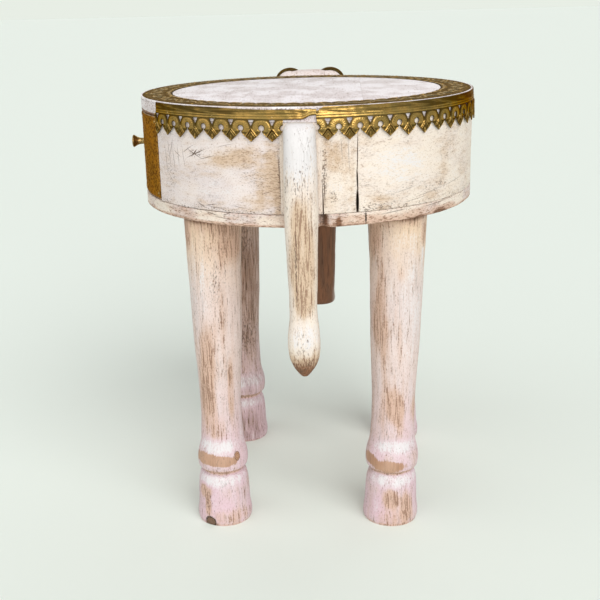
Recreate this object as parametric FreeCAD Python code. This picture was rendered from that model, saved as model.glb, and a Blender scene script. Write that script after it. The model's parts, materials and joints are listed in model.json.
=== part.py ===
import FreeCAD, Part
import math
import os

# Elephant coffee table, in millimetres, +Z up. The model is made about the drum's axis, with the floor
# at z = 0, the tail at -Y, the head at +Y and the drawer at -X, and is moved once, at the end, so that
# the middle of its footprint is the origin. Angles are in degrees from the tail, towards +X.

V = FreeCAD.Vector
UP = V(0, 0, 1)
LEFT = V(-1, 0, 0)

# Clearances
FIT = 0.1
RUN_CLEARANCE = 0.3
SIDE_CLEARANCE = 0.4
KICK_CLEARANCE = 0.5
FRONT_GAP = 0.5
FRONT_TOP_GAP = 1.5
FRONT_ROOM = 3.0
STOP_GAP = 0.4
OVERRUN = 2.0

# Drum
TABLE_HEIGHT = 500.0
DRUM_RADIUS = 195.0
DRUM_HEIGHT = 125.0
TOP_THICKNESS = 16.0
BOTTOM_THICKNESS = 14.0
WALL_THICKNESS = 22.0
MIDDLE_PLANK_WIDTH = 130.0
TAIL_POST_WIDTH = 43.0
FILLER_WIDTH = 38.0
HEAD_POST_WIDTH = 54.0
RIGHT_JOINT_ANGLE = 95.0
NARROW_WALL_ANGLE = 20.0
FIXING_SHARE = 0.2
DOWEL_RADIUS = 4.0
WALL_DOWEL_LENGTH = 28.0
WALL_DOWEL_HEIGHTS = (26.0, 66.0)
TOP_DOWEL_LENGTH = 30.0
TOP_DOWEL_BITE = 10.0
BOTTOM_SCREW_LENGTH = 32.0

# Brass
BRASS_THICKNESS = 0.8
RING_MARGIN = 2.4
RING_WIDTH = 35.0
RING_SCALLOPS = 64
SCALLOP_DEPTH = 3.0
RING_TACKS = 24
RING_TACK_INSET = 4.0
EDGE_REVEAL = 1.6
STRIP_HEIGHT = 11.0
LEAF_DROP = 22.0
LEAF_WIDTH = 22.2
LEAF_HOLE_RADIUS = 2.4
LEAF_HOLE_DROP = 8.5
LEAF_THROAT = 1.0
LEAF_BULGE = 1.2
LEAF_TIP_BLUNT = 0.3
LEAF_SHARE = 0.3
BAND_END_MARGIN = 2.0
SLIT_WIDTH = 6.4
SLIT_DEPTH = 6.0
TAIL_LEAF_GAP = 34.0
BAND_JOINT_ANGLE = 4.9
LEAVES_PER_TACK = 3

# Fasteners
SCREW_HEAD_RADIUS = 4.0
SCREW_HEAD_HEIGHT = 2.4
SCREW_RADIUS = 2.0
SCREW_POINT = 5.0
NAIL_HEAD_RADIUS = 2.2
NAIL_HEAD_HEIGHT = 1.0
NAIL_RADIUS = 1.1
NAIL_POINT = 3.0
TACK_HEAD_RADIUS = 1.7
TACK_HEAD_HEIGHT = 0.9
TACK_ROUND = 0.7
TACK_RADIUS = 0.6
TACK_LENGTH = 7.0
TACK_POINT = 1.5

# Legs, by height above the floor
LEG_TOP_RADIUS = 32.0
NECK_HEIGHT = 116.0
BALL_SWELL = 5.0
BALL_HEIGHT = 80.5
BALL_TOP_SWELL = 1.3
BALL_TOP_HEIGHT = 98.0
GROOVE_CUT = 1.3
GROOVE_HEIGHT = 65.5
FOOT_TOP_RADIUS = 29.8
FOOT_TOP_HEIGHT = 48.0
FOOT_RADIUS = 31.8
FOOT_SHOULDER_BULGE = 1.6
TENON_RADIUS = 13.0
TENON_WALL_WEB = 3.0
TENON_GUIDE_WEB = 7.5
BLOCK_LENGTH = 52.0
BLOCK_HEIGHT = 36.0
WEDGE_TOP = 3.0
WEDGE_POINT = 0.6
WEDGE_HEIGHT = 28.0
# Each leg's name, its side of the drum in X and Y, how far its foot stands aside in X, and its neck's radius
LEGS = (
    ("rear_left", -1, -1, -2.0, 24.6),
    ("rear_right", 1, -1, -8.0, 26.0),
    ("front_left", -1, 1, 0.0, 26.0),
    ("front_right", 1, 1, 9.0, 26.0),
)

# Drawer and its path
DRAWER_WIDTH = 176.0
DRAWER_DEPTH = 318.0
FRONT_LAP = 21.5
FRONT_THICKNESS = 22.0
SIDE_THICKNESS = 10.0
BACK_THICKNESS = 10.0
PANEL_THICKNESS = 5.0
PANEL_RISE = 7.0
GROOVE_DEPTH = 4.0
RUNNER_HEIGHT = 8.0
RUNNER_WIDTH = 27.0
GUIDE_THICKNESS = 9.0
KICKER_HEIGHT = 18.0
KICKER_WIDTH = 18.0
KICKER_SCREW_LENGTH = 26.0
SIDE_PLANK_SCREW = 30.0
STOP_WIDTH = 70.0
STOP_LENGTH = 12.0
STOP_HEIGHT = 30.0
FRONT_NAIL_LENGTH = 36.0
FRONT_NAIL_SINK = 2.5
SIDE_NAIL_LENGTH = 26.0
DRAWER_NAIL_RISES = (24.0, 50.0)
CLADDING_MARGIN = 1.0
CLADDING_TACK_INSET = 5.0
KNOB_ABOVE_MIDDLE = 5.0
KNOB_LENGTH = 17.5
KNOB_RADIUS = 7.4
KNOB_NECK_RADIUS = 3.8
KNOB_BASE_RADIUS = 5.6
KNOB_BASE_HEIGHT = 1.6
KNOB_NECK_END = 8.0
KNOB_FLARE_RADIUS = 4.9
KNOB_FLARE_HEIGHT = 11.4
KNOB_RIM_HEIGHT = 0.8
KNOB_CROWN_HEIGHT = 1.0
KNOB_CROWN_RISE = 0.3
KNOB_SCREW_RADIUS = 2.0
KNOB_SCREW_BITE = 9.0
KNOB_SCREW_HEAD_RADIUS = 4.0
KNOB_SCREW_HEAD_HEIGHT = 2.5

# Carved pieces are smooth through level sections this far apart
CARVING_STEP = 11.0

# Tail, from its tip up: drop below the table top, half width, back and front from the drum's face
TAIL_SECTIONS = (
    (284.0, 2.4, 12.0, 17.0),
    (273.0, 11.5, 6.0, 24.0),
    (262.0, 15.6, 3.0, 28.0),
    (247.0, 17.2, 2.0, 31.0),
    (220.0, 15.0, 2.0, 28.0),
    (206.0, 14.5, 2.0, 27.0),
    (154.0, 16.2, 1.0, 29.0),
    (92.0, 17.8, -3.0, 30.0),
    (26.0, 16.0, -3.0, 26.0),
    (15.0, 14.5, -3.0, 20.0),
)
TAIL_SCREW_RISES = (41.0, 58.0)
TAIL_SCREW_BITE = 16.0

# Head and trunk: drop below the table top, half width, back and front from the drum's face
HEAD_SECTIONS = (
    (335.0, 27.5, 9.0, 49.0),
    (300.0, 29.0, 5.0, 46.0),
    (230.0, 31.5, 3.0, 47.0),
    (170.0, 34.0, 0.0, 53.0),
    (120.0, 40.0, -6.0, 62.0),
    (85.0, 46.0, -10.0, 69.0),
    (52.0, 49.5, -11.0, 71.0),
    (22.0, 47.5, -9.0, 65.0),
    (2.0, 41.0, 2.0, 50.0),
    (-5.5, 31.0, 9.0, 42.0),
)
HEAD_LEAN = -3.0
DOME_OFFSET = 28.0
DOME_OUT = 27.0
DOME_DROP = 9.0
DOME_RADII = (19.5, 24.0, 17.0)
HEAD_SCREW_RISES = (34.0, 62.0)
HEAD_SCREW_BITE = 30.0
HEAD_BAND_GAP = 100.0
CAP_BACK = 14.0
CAP_DROP = 16.0
CAP_TACK_ANGLES = (-50.0, 0.0, 50.0)
CAP_TACK_RISE = 20.0
EYE_DROP = 52.0
EYE_ANGLE = 56.0
EYE_RADIUS = 5.2
EYE_CROWN_RADIUS = 3.1
EYE_HEIGHT = 3.0
EYE_CROWN_DROP = 0.75
EYE_PEG_RADIUS = 1.6
EYE_PEG_LENGTH = 12.0
EAR_ANGLE = 31.0
EAR_GAP = 0.3
EAR_THICKNESS = 13.0
EAR_BELOW_LEAVES = 3.0
EAR_NAIL_LENGTH = 30.0
EAR_NAIL_RISES = (22.0, 50.0)
# Ear outline: distance from its middle, away from the head, and drop below its top, as start and arcs
EAR_START = (-42.0, 14.0)
EAR_ARCS = (
    ((2.0, 0.0), (42.0, 26.0)),
    ((50.0, 66.0), (22.0, 116.0)),
    ((2.0, 132.0), (-22.0, 104.0)),
    ((-34.0, 62.0), (-42.0, 14.0)),
)
# Tusk: points of its curve out from the drum's axis plane, from the drum's face and below the table top
TUSK_ROOT = (27.0, 43.0, 108.0)
TUSK_BEND = (43.0, 73.0, 139.0)
TUSK_TIP = (52.0, 97.0, 124.0)
TUSK_ROOT_RADIUS = 8.0
TUSK_TIP_RADIUS = 2.6
TUSK_STEPS = 6

# Levels and radii that follow from the sizes above
DRUM_BASE = TABLE_HEIGHT - DRUM_HEIGHT
WALL_BASE = DRUM_BASE + BOTTOM_THICKNESS
WALL_TOP = TABLE_HEIGHT - TOP_THICKNESS
INNER_RADIUS = DRUM_RADIUS - WALL_THICKNESS
WALL_MIDDLE = DRUM_RADIUS - WALL_THICKNESS / 2
STRIP_TOP = TABLE_HEIGHT - EDGE_REVEAL
STRIP_BASE = STRIP_TOP - STRIP_HEIGHT
LEAF_TIP = STRIP_BASE - LEAF_DROP
BAND_INNER = DRUM_RADIUS + FIT
BAND_OUTER = BAND_INNER + BRASS_THICKNESS
RING_OUTER = DRUM_RADIUS - RING_MARGIN
RING_INNER = RING_OUTER - RING_WIDTH
RING_FLOOR = TABLE_HEIGHT - BRASS_THICKNESS
FRONT_OUTER = DRUM_RADIUS - BRASS_THICKNESS - FIT
FRONT_INNER = FRONT_OUTER - FRONT_THICKNESS
FRONT_HALF = DRAWER_WIDTH / 2 + FRONT_LAP
FRONT_BASE = WALL_BASE + FRONT_TOP_GAP
FRONT_TOP = WALL_TOP - FRONT_TOP_GAP
OPENING_HALF = FRONT_HALF + FRONT_GAP
RUNNER_TOP = WALL_BASE + RUNNER_HEIGHT
KICKER_BASE = WALL_TOP - KICKER_HEIGHT
SIDE_BASE = RUNNER_TOP + RUN_CLEARANCE
SIDE_TOP = KICKER_BASE - KICK_CLEARANCE
SIDE_OUTER = DRAWER_WIDTH / 2
SIDE_INNER = SIDE_OUTER - SIDE_THICKNESS
PANEL_BASE = SIDE_BASE + PANEL_RISE
PANEL_TOP = PANEL_BASE + PANEL_THICKNESS
DRAWER_END = DRAWER_DEPTH - DRUM_RADIUS
GUIDE_INNER = SIDE_OUTER + SIDE_CLEARANCE
GUIDE_OUTER = GUIDE_INNER + GUIDE_THICKNESS
RAIL_END_RADIUS = min(FRONT_INNER - FRONT_ROOM, INNER_RADIUS - FIT)
BLOCK_TOP = WALL_BASE + BLOCK_HEIGHT
KNOB_HEIGHT = (FRONT_BASE + FRONT_TOP) / 2 + KNOB_ABOVE_MIDDLE
LEG_Y = GUIDE_OUTER + TENON_GUIDE_WEB + TENON_RADIUS
LEG_X = math.sqrt((INNER_RADIUS - TENON_WALL_WEB - TENON_RADIUS) ** 2 - LEG_Y ** 2)
LEAF_PITCH = math.degrees(LEAF_WIDTH / DRUM_RADIUS)
EAR_TOP = LEAF_TIP - EAR_BELOW_LEAVES
TAIL_REACH = max(front for drop, half, back, front in TAIL_SECTIONS)
TUSK_REACH = TUSK_TIP[1]
FOOTPRINT_MIDDLE = V((BAND_OUTER - DRUM_RADIUS - KNOB_LENGTH) / 2, (TUSK_REACH - TAIL_REACH) / 2, 0)


def outward(angle):
    """The level direction away from the drum's axis at an angle."""
    turn = math.radians(angle)
    return V(math.sin(turn), -math.cos(turn), 0)


def on_drum(radius, angle, height):
    """A point at a distance from the drum's axis, an angle and a height."""
    return outward(angle) * radius + V(0, 0, height)


def face_angle(width):
    """The angle that a width takes up along the drum's face."""
    return math.degrees(width / DRUM_RADIUS)


OPENING_ANGLE = math.degrees(math.asin(OPENING_HALF / DRUM_RADIUS))
TAIL_POST = face_angle(TAIL_POST_WIDTH / 2)
HEAD_POST = face_angle(HEAD_POST_WIDTH / 2)
FILLER_END = TAIL_POST + face_angle(FILLER_WIDTH)
# The wall's pieces in order round the drum, each from one angle to another
WALLS = (
    ("wall_rear_left", OPENING_ANGLE - 90, -TAIL_POST),
    ("wall_tail_post", -TAIL_POST, TAIL_POST),
    ("wall_filler_stave", TAIL_POST, FILLER_END),
    ("wall_rear_right", FILLER_END, RIGHT_JOINT_ANGLE),
    ("wall_front_right", RIGHT_JOINT_ANGLE, 180 - HEAD_POST),
    ("wall_head_post", 180 - HEAD_POST, 180 + HEAD_POST),
    ("wall_front_left", 180 + HEAD_POST, 270 - OPENING_ANGLE),
)


def turned(profile, at=V(0, 0, 0), along=UP):
    """A solid of revolution from (radius, height) points, with its axis along a direction."""
    points = [V(radius, 0, height) for radius, height in profile]
    face = Part.Face(Part.makePolygon(points + points[:1]))
    solid = face.revolve(V(0, 0, 0), UP, 360)
    solid.Placement = FreeCAD.Placement(at, FreeCAD.Rotation(UP, along))
    return solid


def disc(radius, low, high):
    """A cylinder about the drum's axis between two heights."""
    return Part.makeCylinder(radius, high - low, V(0, 0, low))


def block(x_range, y_range, z_range):
    """A box between two corners."""
    low = V(x_range[0], y_range[0], z_range[0])
    high = V(x_range[1], y_range[1], z_range[1])
    size = high - low
    return Part.makeBox(size.x, size.y, size.z, low)


def ring_sector(inner, outer, low, high, start, end):
    """A block of a ring about the drum's axis, from one angle to another."""
    corners = [V(inner, 0, low), V(outer, 0, low), V(outer, 0, high), V(inner, 0, high)]
    face = Part.Face(Part.makePolygon(corners + corners[:1]))
    sector = face.revolve(V(0, 0, 0), UP, end - start)
    sector.rotate(V(0, 0, 0), UP, start - 90)
    return sector


def bored(piece, fasteners):
    """The piece with a hole for each fastener that reaches it."""
    reached = [tool for tool in fasteners if piece.BoundBox.intersect(tool.BoundBox)]
    if not reached:
        return piece
    return piece.cut(reached)


def section_at(sections, drop):
    """A carved piece's half width, back and front at a drop, between its listed sections."""
    for low, high in zip(sections, sections[1:]):
        if high[0] <= drop <= low[0]:
            share = (low[0] - drop) / (low[0] - high[0])
            return [a + (b - a) * share for a, b in zip(low[1:], high[1:])]
    raise ValueError("the drop is outside the sections")


def carved(sections, grow=0.0, lean=0.0):
    """A smooth solid through level ellipses in front of the drum, whose top leans aside."""
    lowest = sections[0][0]
    highest = sections[-1][0]
    steps = math.ceil((lowest - highest) / CARVING_STEP)
    wires = []
    for step in range(steps + 1):
        drop = lowest + (highest - lowest) * step / steps
        half, back, front = section_at(sections, drop)
        matrix = FreeCAD.Matrix()
        matrix.scale(half + grow, (front - back) / 2 + grow, 1)
        matrix.move(V(lean * step / steps, DRUM_RADIUS + (front + back) / 2, TABLE_HEIGHT - drop))
        wires.append(Part.Wire(Part.makeCircle(1).transformGeometry(matrix).Edges))
    return Part.makeLoft(wires, True)


# Fasteners: grow is 0 for the piece itself and the fit clearance for the hole it goes into

def wood_screw(at, along, length, grow=0.0):
    """A countersunk screw with its flat head at a point."""
    start = -OVERRUN if grow else 0.0
    profile = [
        (0, start),
        (SCREW_HEAD_RADIUS + grow, start),
        (SCREW_HEAD_RADIUS + grow, grow),
        (SCREW_RADIUS + grow, SCREW_HEAD_HEIGHT + grow),
        (SCREW_RADIUS + grow, length - SCREW_POINT),
        (0, length + grow),
    ]
    if not grow:
        profile.pop(2)
    return turned(profile, at, along)


def nail(at, along, length, grow=0.0):
    """A flat-headed nail with the top of its head at a point."""
    start = -OVERRUN if grow else 0.0
    return turned([
        (0, start),
        (NAIL_HEAD_RADIUS + grow, start),
        (NAIL_HEAD_RADIUS + grow, NAIL_HEAD_HEIGHT + grow),
        (NAIL_RADIUS + grow, NAIL_HEAD_HEIGHT + grow),
        (NAIL_RADIUS + grow, length - NAIL_POINT),
        (0, length + grow),
    ], at, along)


def tack(at, along, grow=0.0):
    """A small domed tack whose head stands on a surface at a point."""
    return turned([
        (0, -TACK_HEAD_HEIGHT - grow),
        (TACK_HEAD_RADIUS * TACK_ROUND, -TACK_HEAD_HEIGHT * TACK_ROUND - grow),
        (TACK_HEAD_RADIUS + grow, 0),
        (TACK_RADIUS + grow, 0),
        (TACK_RADIUS + grow, TACK_LENGTH - TACK_POINT),
        (0, TACK_LENGTH + grow),
    ], at, along)


def wall_dowels(grow=0.0):
    """Two level dowels across each joint between the wall's pieces."""
    dowels = []
    half = WALL_DOWEL_LENGTH / 2 + grow
    for name, start, end in WALLS[1:]:
        along = outward(start + 90)
        for rise in WALL_DOWEL_HEIGHTS:
            middle = on_drum(WALL_MIDDLE, start, WALL_BASE + rise)
            dowels.append(Part.makeCylinder(DOWEL_RADIUS + grow, 2 * half, middle - along * half, along))
    return dowels


def wall_fixing_angles():
    """Where the top's dowels and the bottom's screws stand: one in a narrow wall piece, else two."""
    angles = []
    for name, start, end in WALLS:
        if end - start < NARROW_WALL_ANGLE:
            angles.append((start + end) / 2)
        else:
            angles.append(start + (end - start) * FIXING_SHARE)
            angles.append(end - (end - start) * FIXING_SHARE)
    return angles


def top_dowels(grow=0.0):
    """Upright dowels from the wall into the top planks."""
    base = WALL_TOP + TOP_DOWEL_BITE - TOP_DOWEL_LENGTH
    return [
        Part.makeCylinder(DOWEL_RADIUS + grow, TOP_DOWEL_LENGTH + 2 * grow,
                          on_drum(WALL_MIDDLE, angle, base - grow))
        for angle in wall_fixing_angles()
    ]


def bottom_screws(grow=0.0):
    """Screws up through the bottom board into the wall."""
    return [
        wood_screw(on_drum(WALL_MIDDLE, angle, DRUM_BASE), UP, BOTTOM_SCREW_LENGTH, grow)
        for angle in wall_fixing_angles()
    ]


def kicker_screws(grow=0.0):
    """Screws up through the kickers, one into each top plank."""
    across = (SIDE_OUTER + SIDE_OUTER - KICKER_WIDTH) / 2
    side = MIDDLE_PLANK_WIDTH / 2 + SIDE_PLANK_SCREW
    return [
        wood_screw(V(x, y, KICKER_BASE), UP, KICKER_SCREW_LENGTH, grow)
        for y in (-across, across)
        for x in (-side, 0, side)
    ]


def tail_screws(grow=0.0):
    """Screws out through the tail post into the tail."""
    return [
        wood_screw(on_drum(INNER_RADIUS, 0, WALL_BASE + rise), outward(0),
                   WALL_THICKNESS + TAIL_SCREW_BITE, grow)
        for rise in TAIL_SCREW_RISES
    ]


def head_screws(grow=0.0):
    """Screws out through the head post into the head."""
    return [
        wood_screw(on_drum(INNER_RADIUS, 180, WALL_BASE + rise), outward(180),
                   WALL_THICKNESS + HEAD_SCREW_BITE, grow)
        for rise in HEAD_SCREW_RISES
    ]


def ear_nails(grow=0.0):
    """Nails through the ears into the wall."""
    reach = DRUM_RADIUS + EAR_GAP + EAR_THICKNESS
    return [
        nail(on_drum(reach, 180 + side * EAR_ANGLE, EAR_TOP - rise), outward(side * EAR_ANGLE),
             EAR_NAIL_LENGTH, grow)
        for side in (-1, 1)
        for rise in EAR_NAIL_RISES
    ]


def ring_tacks(grow=0.0):
    """Tacks near both edges of the brass ring."""
    tacks = []
    radii = (RING_OUTER - RING_TACK_INSET, RING_INNER + SCALLOP_DEPTH + RING_TACK_INSET)
    for step in range(RING_TACKS):
        for radius in radii:
            at = on_drum(radius, (step + 0.5) * 360 / RING_TACKS, TABLE_HEIGHT)
            tacks.append(tack(at, -UP, grow))
    return tacks


def band_angles():
    """The leaf border's three lengths: name, start, end and the angles of its leaves in order."""
    gap = face_angle(TAIL_LEAF_GAP / 2)
    head_gap = face_angle(HEAD_BAND_GAP / 2)
    drawer_edge = 90 - OPENING_ANGLE - face_angle(BAND_END_MARGIN)

    def leaves(first, last):
        count = math.ceil((last - first) / LEAF_PITCH - LEAF_SHARE)
        return [first + (step + 0.5) * LEAF_PITCH for step in range(count)]

    left = [-angle for angle in reversed(leaves(gap, drawer_edge))]
    right = leaves(gap, 180 - head_gap)
    front = leaves(180 + head_gap, 180 + drawer_edge)
    return (
        ("leaf_band_rear_left", -drawer_edge, BAND_JOINT_ANGLE, left),
        ("leaf_band_right", BAND_JOINT_ANGLE, 180 - head_gap, right),
        ("leaf_band_front_left", 180 + head_gap, 180 + drawer_edge, front),
    )


def band_tacks(grow=0.0):
    """Tacks through the strip of the leaf border into the edge of the top."""
    tacks = []
    height = (STRIP_BASE + STRIP_TOP) / 2 - 2 * TACK_HEAD_RADIUS
    for name, start, end, leaves in band_angles():
        for angle in leaves[1::LEAVES_PER_TACK]:
            tacks.append(tack(on_drum(BAND_OUTER, angle, height), outward(angle + 180), grow))
    return tacks


def cladding_tacks(grow=0.0):
    """Tacks along the top and bottom edges of the drawer's brass."""
    tacks = []
    half = FRONT_HALF - CLADDING_MARGIN - CLADDING_TACK_INSET
    widest = math.degrees(math.asin(half / DRUM_RADIUS))
    edge = CLADDING_MARGIN + CLADDING_TACK_INSET
    for height in (FRONT_BASE + edge, FRONT_TOP - edge):
        for part in (-1, -0.5, 0, 0.5, 1):
            angle = -90 + part * widest
            tacks.append(tack(on_drum(DRUM_RADIUS, angle, height), outward(angle + 180), grow))
    return tacks


def drawer_nails(grow=0.0):
    """Nails from the drawer's front into its sides, and from its sides into its back."""
    nails = []
    across = (SIDE_INNER + SIDE_OUTER) / 2
    start = math.sqrt(FRONT_OUTER ** 2 - (across + NAIL_HEAD_RADIUS) ** 2) - FRONT_NAIL_SINK
    back = DRAWER_END - BACK_THICKNESS / 2
    for side in (-1, 1):
        for rise in DRAWER_NAIL_RISES:
            height = SIDE_BASE + rise
            nails.append(nail(V(-start, side * across, height), V(1, 0, 0), FRONT_NAIL_LENGTH, grow))
            nails.append(nail(V(back, side * SIDE_OUTER, height), V(0, -side, 0), SIDE_NAIL_LENGTH, grow))
    return nails


def knob_screw(grow=0.0):
    """The machine screw from inside the drawer into the knob."""
    start = -OVERRUN if grow else 0.0
    length = FRONT_THICKNESS + FIT + BRASS_THICKNESS + KNOB_SCREW_BITE
    return turned([
        (0, start),
        (KNOB_SCREW_HEAD_RADIUS + grow, start),
        (KNOB_SCREW_HEAD_RADIUS + grow, KNOB_SCREW_HEAD_HEIGHT + grow),
        (KNOB_SCREW_RADIUS + grow, KNOB_SCREW_HEAD_HEIGHT + grow),
        (KNOB_SCREW_RADIUS + grow, length + grow),
        (0, length + grow),
    ], V(-FRONT_INNER - FIT, 0, KNOB_HEIGHT), LEFT)


# Drum

def top_planks(bores):
    """Three planks that make the round top, let in for the brass ring."""
    whole = disc(DRUM_RADIUS, WALL_TOP, TABLE_HEIGHT)
    rebate = disc(RING_OUTER + FIT, RING_FLOOR, TABLE_HEIGHT + OVERRUN)
    rebate = rebate.cut(disc(RING_INNER - FIT, RING_FLOOR, TABLE_HEIGHT + OVERRUN))
    whole = bored(whole.cut(rebate), bores)
    half = MIDDLE_PLANK_WIDTH / 2
    depth = (-DRUM_RADIUS, DRUM_RADIUS)
    height = (WALL_TOP, TABLE_HEIGHT)
    return {
        "top_plank_left": whole.common(block((-DRUM_RADIUS, -half), depth, height)),
        "top_plank_middle": whole.common(block((-half, half), depth, height)),
        "top_plank_right": whole.common(block((half, DRUM_RADIUS), depth, height)),
    }


def tenon_holes():
    """The holes that the legs' tenons go up into."""
    return [
        Part.makeCylinder(TENON_RADIUS + FIT, BLOCK_TOP - DRUM_BASE + 2 * OVERRUN,
                          V(side_x * LEG_X, side_y * LEG_Y, DRUM_BASE - OVERRUN))
        for name, side_x, side_y, drift, neck_radius in LEGS
    ]


def bottom_board(bores):
    """The round board that the legs and the wall stand against."""
    board = disc(DRUM_RADIUS, DRUM_BASE, WALL_BASE)
    return bored(board, tenon_holes() + bores)


def walls(bores):
    """The curved pieces of the drum's wall, open to the left for the drawer."""
    opening = block((-DRUM_RADIUS, 0), (-OPENING_HALF, OPENING_HALF), (WALL_BASE, WALL_TOP))
    pieces = {}
    for name, start, end in WALLS:
        first = start - (OPENING_ANGLE if name == "wall_rear_left" else 0)
        last = end + (OPENING_ANGLE if name == "wall_front_left" else 0)
        piece = ring_sector(INNER_RADIUS, DRUM_RADIUS, WALL_BASE, WALL_TOP, first, last)
        pieces[name] = bored(piece.cut(opening), bores)
    return pieces


def rail(inner, outer, low, high, side):
    """A rail along the drawer's path, shaped to the round of the drum at its ends."""
    y_range = (inner, outer) if side > 0 else (-outer, -inner)
    whole = block((-DRUM_RADIUS, DRUM_RADIUS), y_range, (low, high))
    return whole.common(disc(RAIL_END_RADIUS, low, high))


def front_room():
    """The space that the drawer's front takes up behind the opening, with its gap."""
    opening = block((-DRUM_RADIUS, 0), (-OPENING_HALF, OPENING_HALF), (WALL_BASE, WALL_TOP))
    return opening.cut(disc(FRONT_INNER - FRONT_GAP, WALL_BASE, WALL_TOP))


def drawer_path(bores):
    """Runners under the drawer, guides beside it, kickers over it and a stop behind it."""
    pieces = {}
    for place, side in (("rear", -1), ("front", 1)):
        pieces["drawer_runner_" + place] = rail(GUIDE_OUTER - RUNNER_WIDTH, GUIDE_OUTER,
                                                WALL_BASE, RUNNER_TOP, side)
        pieces["drawer_guide_" + place] = rail(GUIDE_INNER, GUIDE_OUTER, RUNNER_TOP, WALL_TOP, side)
        kicker = rail(SIDE_OUTER - KICKER_WIDTH, SIDE_OUTER, KICKER_BASE, WALL_TOP, side)
        pieces["drawer_kicker_" + place] = bored(kicker, bores)
    stop_start = DRAWER_END + STOP_GAP
    pieces["drawer_stop"] = block((stop_start, stop_start + STOP_LENGTH),
                                  (-STOP_WIDTH / 2, STOP_WIDTH / 2),
                                  (WALL_BASE, WALL_BASE + STOP_HEIGHT))
    return pieces


# Legs

def leg_outline(neck_radius):
    """The turned outline of a leg, run past the floor and the drum's underside for trimming."""
    slope = (LEG_TOP_RADIUS - neck_radius) / (DRUM_BASE - NECK_HEIGHT)
    foot = V(FOOT_RADIUS, 0, -OVERRUN)
    foot_top = V(FOOT_TOP_RADIUS, 0, FOOT_TOP_HEIGHT)
    groove = V(neck_radius - GROOVE_CUT, 0, GROOVE_HEIGHT)
    shoulder = (foot_top + groove) / 2 + V(FOOT_SHOULDER_BULGE, 0, FOOT_SHOULDER_BULGE)
    ball = V(neck_radius + BALL_SWELL, 0, BALL_HEIGHT)
    ball_top = V(neck_radius + BALL_TOP_SWELL, 0, BALL_TOP_HEIGHT)
    neck = V(neck_radius, 0, NECK_HEIGHT)
    hollow = V(neck_radius + BALL_TOP_SWELL / 5, 0, (BALL_TOP_HEIGHT + NECK_HEIGHT) / 2)
    top = V(LEG_TOP_RADIUS + slope * OVERRUN, 0, DRUM_BASE + OVERRUN)
    edges = [
        Part.LineSegment(V(0, 0, -OVERRUN), foot),
        Part.LineSegment(foot, foot_top),
        Part.Arc(foot_top, shoulder, groove),
        Part.Arc(groove, ball, ball_top),
        Part.Arc(ball_top, hollow, neck),
        Part.LineSegment(neck, top),
        Part.LineSegment(top, V(0, 0, top.z)),
        Part.LineSegment(V(0, 0, top.z), V(0, 0, -OVERRUN)),
    ]
    return Part.Wire([edge.toShape() for edge in edges])


def leg_wedge(x, y, trimmed):
    """The wedge that spreads a tenon, whole or trimmed to the tenon's round."""
    section = [
        V(-WEDGE_TOP / 2, -TENON_RADIUS, BLOCK_TOP),
        V(WEDGE_TOP / 2, -TENON_RADIUS, BLOCK_TOP),
        V(WEDGE_POINT / 2, -TENON_RADIUS, BLOCK_TOP - WEDGE_HEIGHT),
        V(-WEDGE_POINT / 2, -TENON_RADIUS, BLOCK_TOP - WEDGE_HEIGHT),
    ]
    wedge = Part.Face(Part.makePolygon(section + section[:1])).extrude(V(0, 2 * TENON_RADIUS, 0))
    if trimmed:
        wedge = wedge.common(disc(TENON_RADIUS, BLOCK_TOP - WEDGE_HEIGHT, BLOCK_TOP))
    wedge.translate(V(x, y, 0))
    return wedge


def legs():
    """The four legs, their wedges and the blocks inside the drum that hold their tenons."""
    pieces = {}
    wedges = []
    holes = tenon_holes()
    for name, side_x, side_y, drift, neck_radius in LEGS:
        x = side_x * LEG_X
        y = side_y * LEG_Y
        body = Part.Face(leg_outline(neck_radius)).revolve(V(0, 0, 0), UP, 360)
        body.rotate(V(0, 0, DRUM_BASE), V(0, 1, 0), -math.degrees(math.atan(drift / DRUM_BASE)))
        reach = 2 * FOOT_RADIUS
        body = body.common(block((-reach, reach), (-reach, reach), (0, DRUM_BASE)))
        body = body.fuse(disc(TENON_RADIUS, DRUM_BASE - OVERRUN, BLOCK_TOP)).removeSplitter()
        body.translate(V(x, y, 0))
        pieces["leg_" + name] = body.cut(leg_wedge(x, y, False))
        wedges.append(leg_wedge(x, y, True))

        y_range = (GUIDE_OUTER + FIT, DRUM_RADIUS) if side_y > 0 else (-DRUM_RADIUS, -GUIDE_OUTER - FIT)
        holder = block((x - BLOCK_LENGTH / 2, x + BLOCK_LENGTH / 2), y_range, (WALL_BASE, BLOCK_TOP))
        holder = holder.common(disc(INNER_RADIUS - FIT, WALL_BASE, BLOCK_TOP)).cut(front_room())
        pieces["leg_block_" + name] = bored(holder, holes)
    pieces["leg_wedges"] = Part.makeCompound(wedges)
    return pieces


# Drawer

def curved_front(inner, outer, half, low, high):
    """A curved panel in line with the drum's wall on its left side."""
    ring = ring_sector(inner, outer, low, high, -180, 0)
    return ring.common(block((-outer, 0), (-half, half), (low, high)))


def drawer_panel(grow=0.0):
    """The drawer's bottom panel, or the space for it in the grooves."""
    half = SIDE_INNER + GROOVE_DEPTH - FIT + grow
    low = PANEL_BASE - grow
    high = PANEL_TOP + grow
    panel = block((-DRUM_RADIUS, DRAWER_END + grow), (-half, half), (low, high))
    return panel.common(disc(FRONT_INNER + GROOVE_DEPTH - FIT + grow, low, high))


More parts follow.
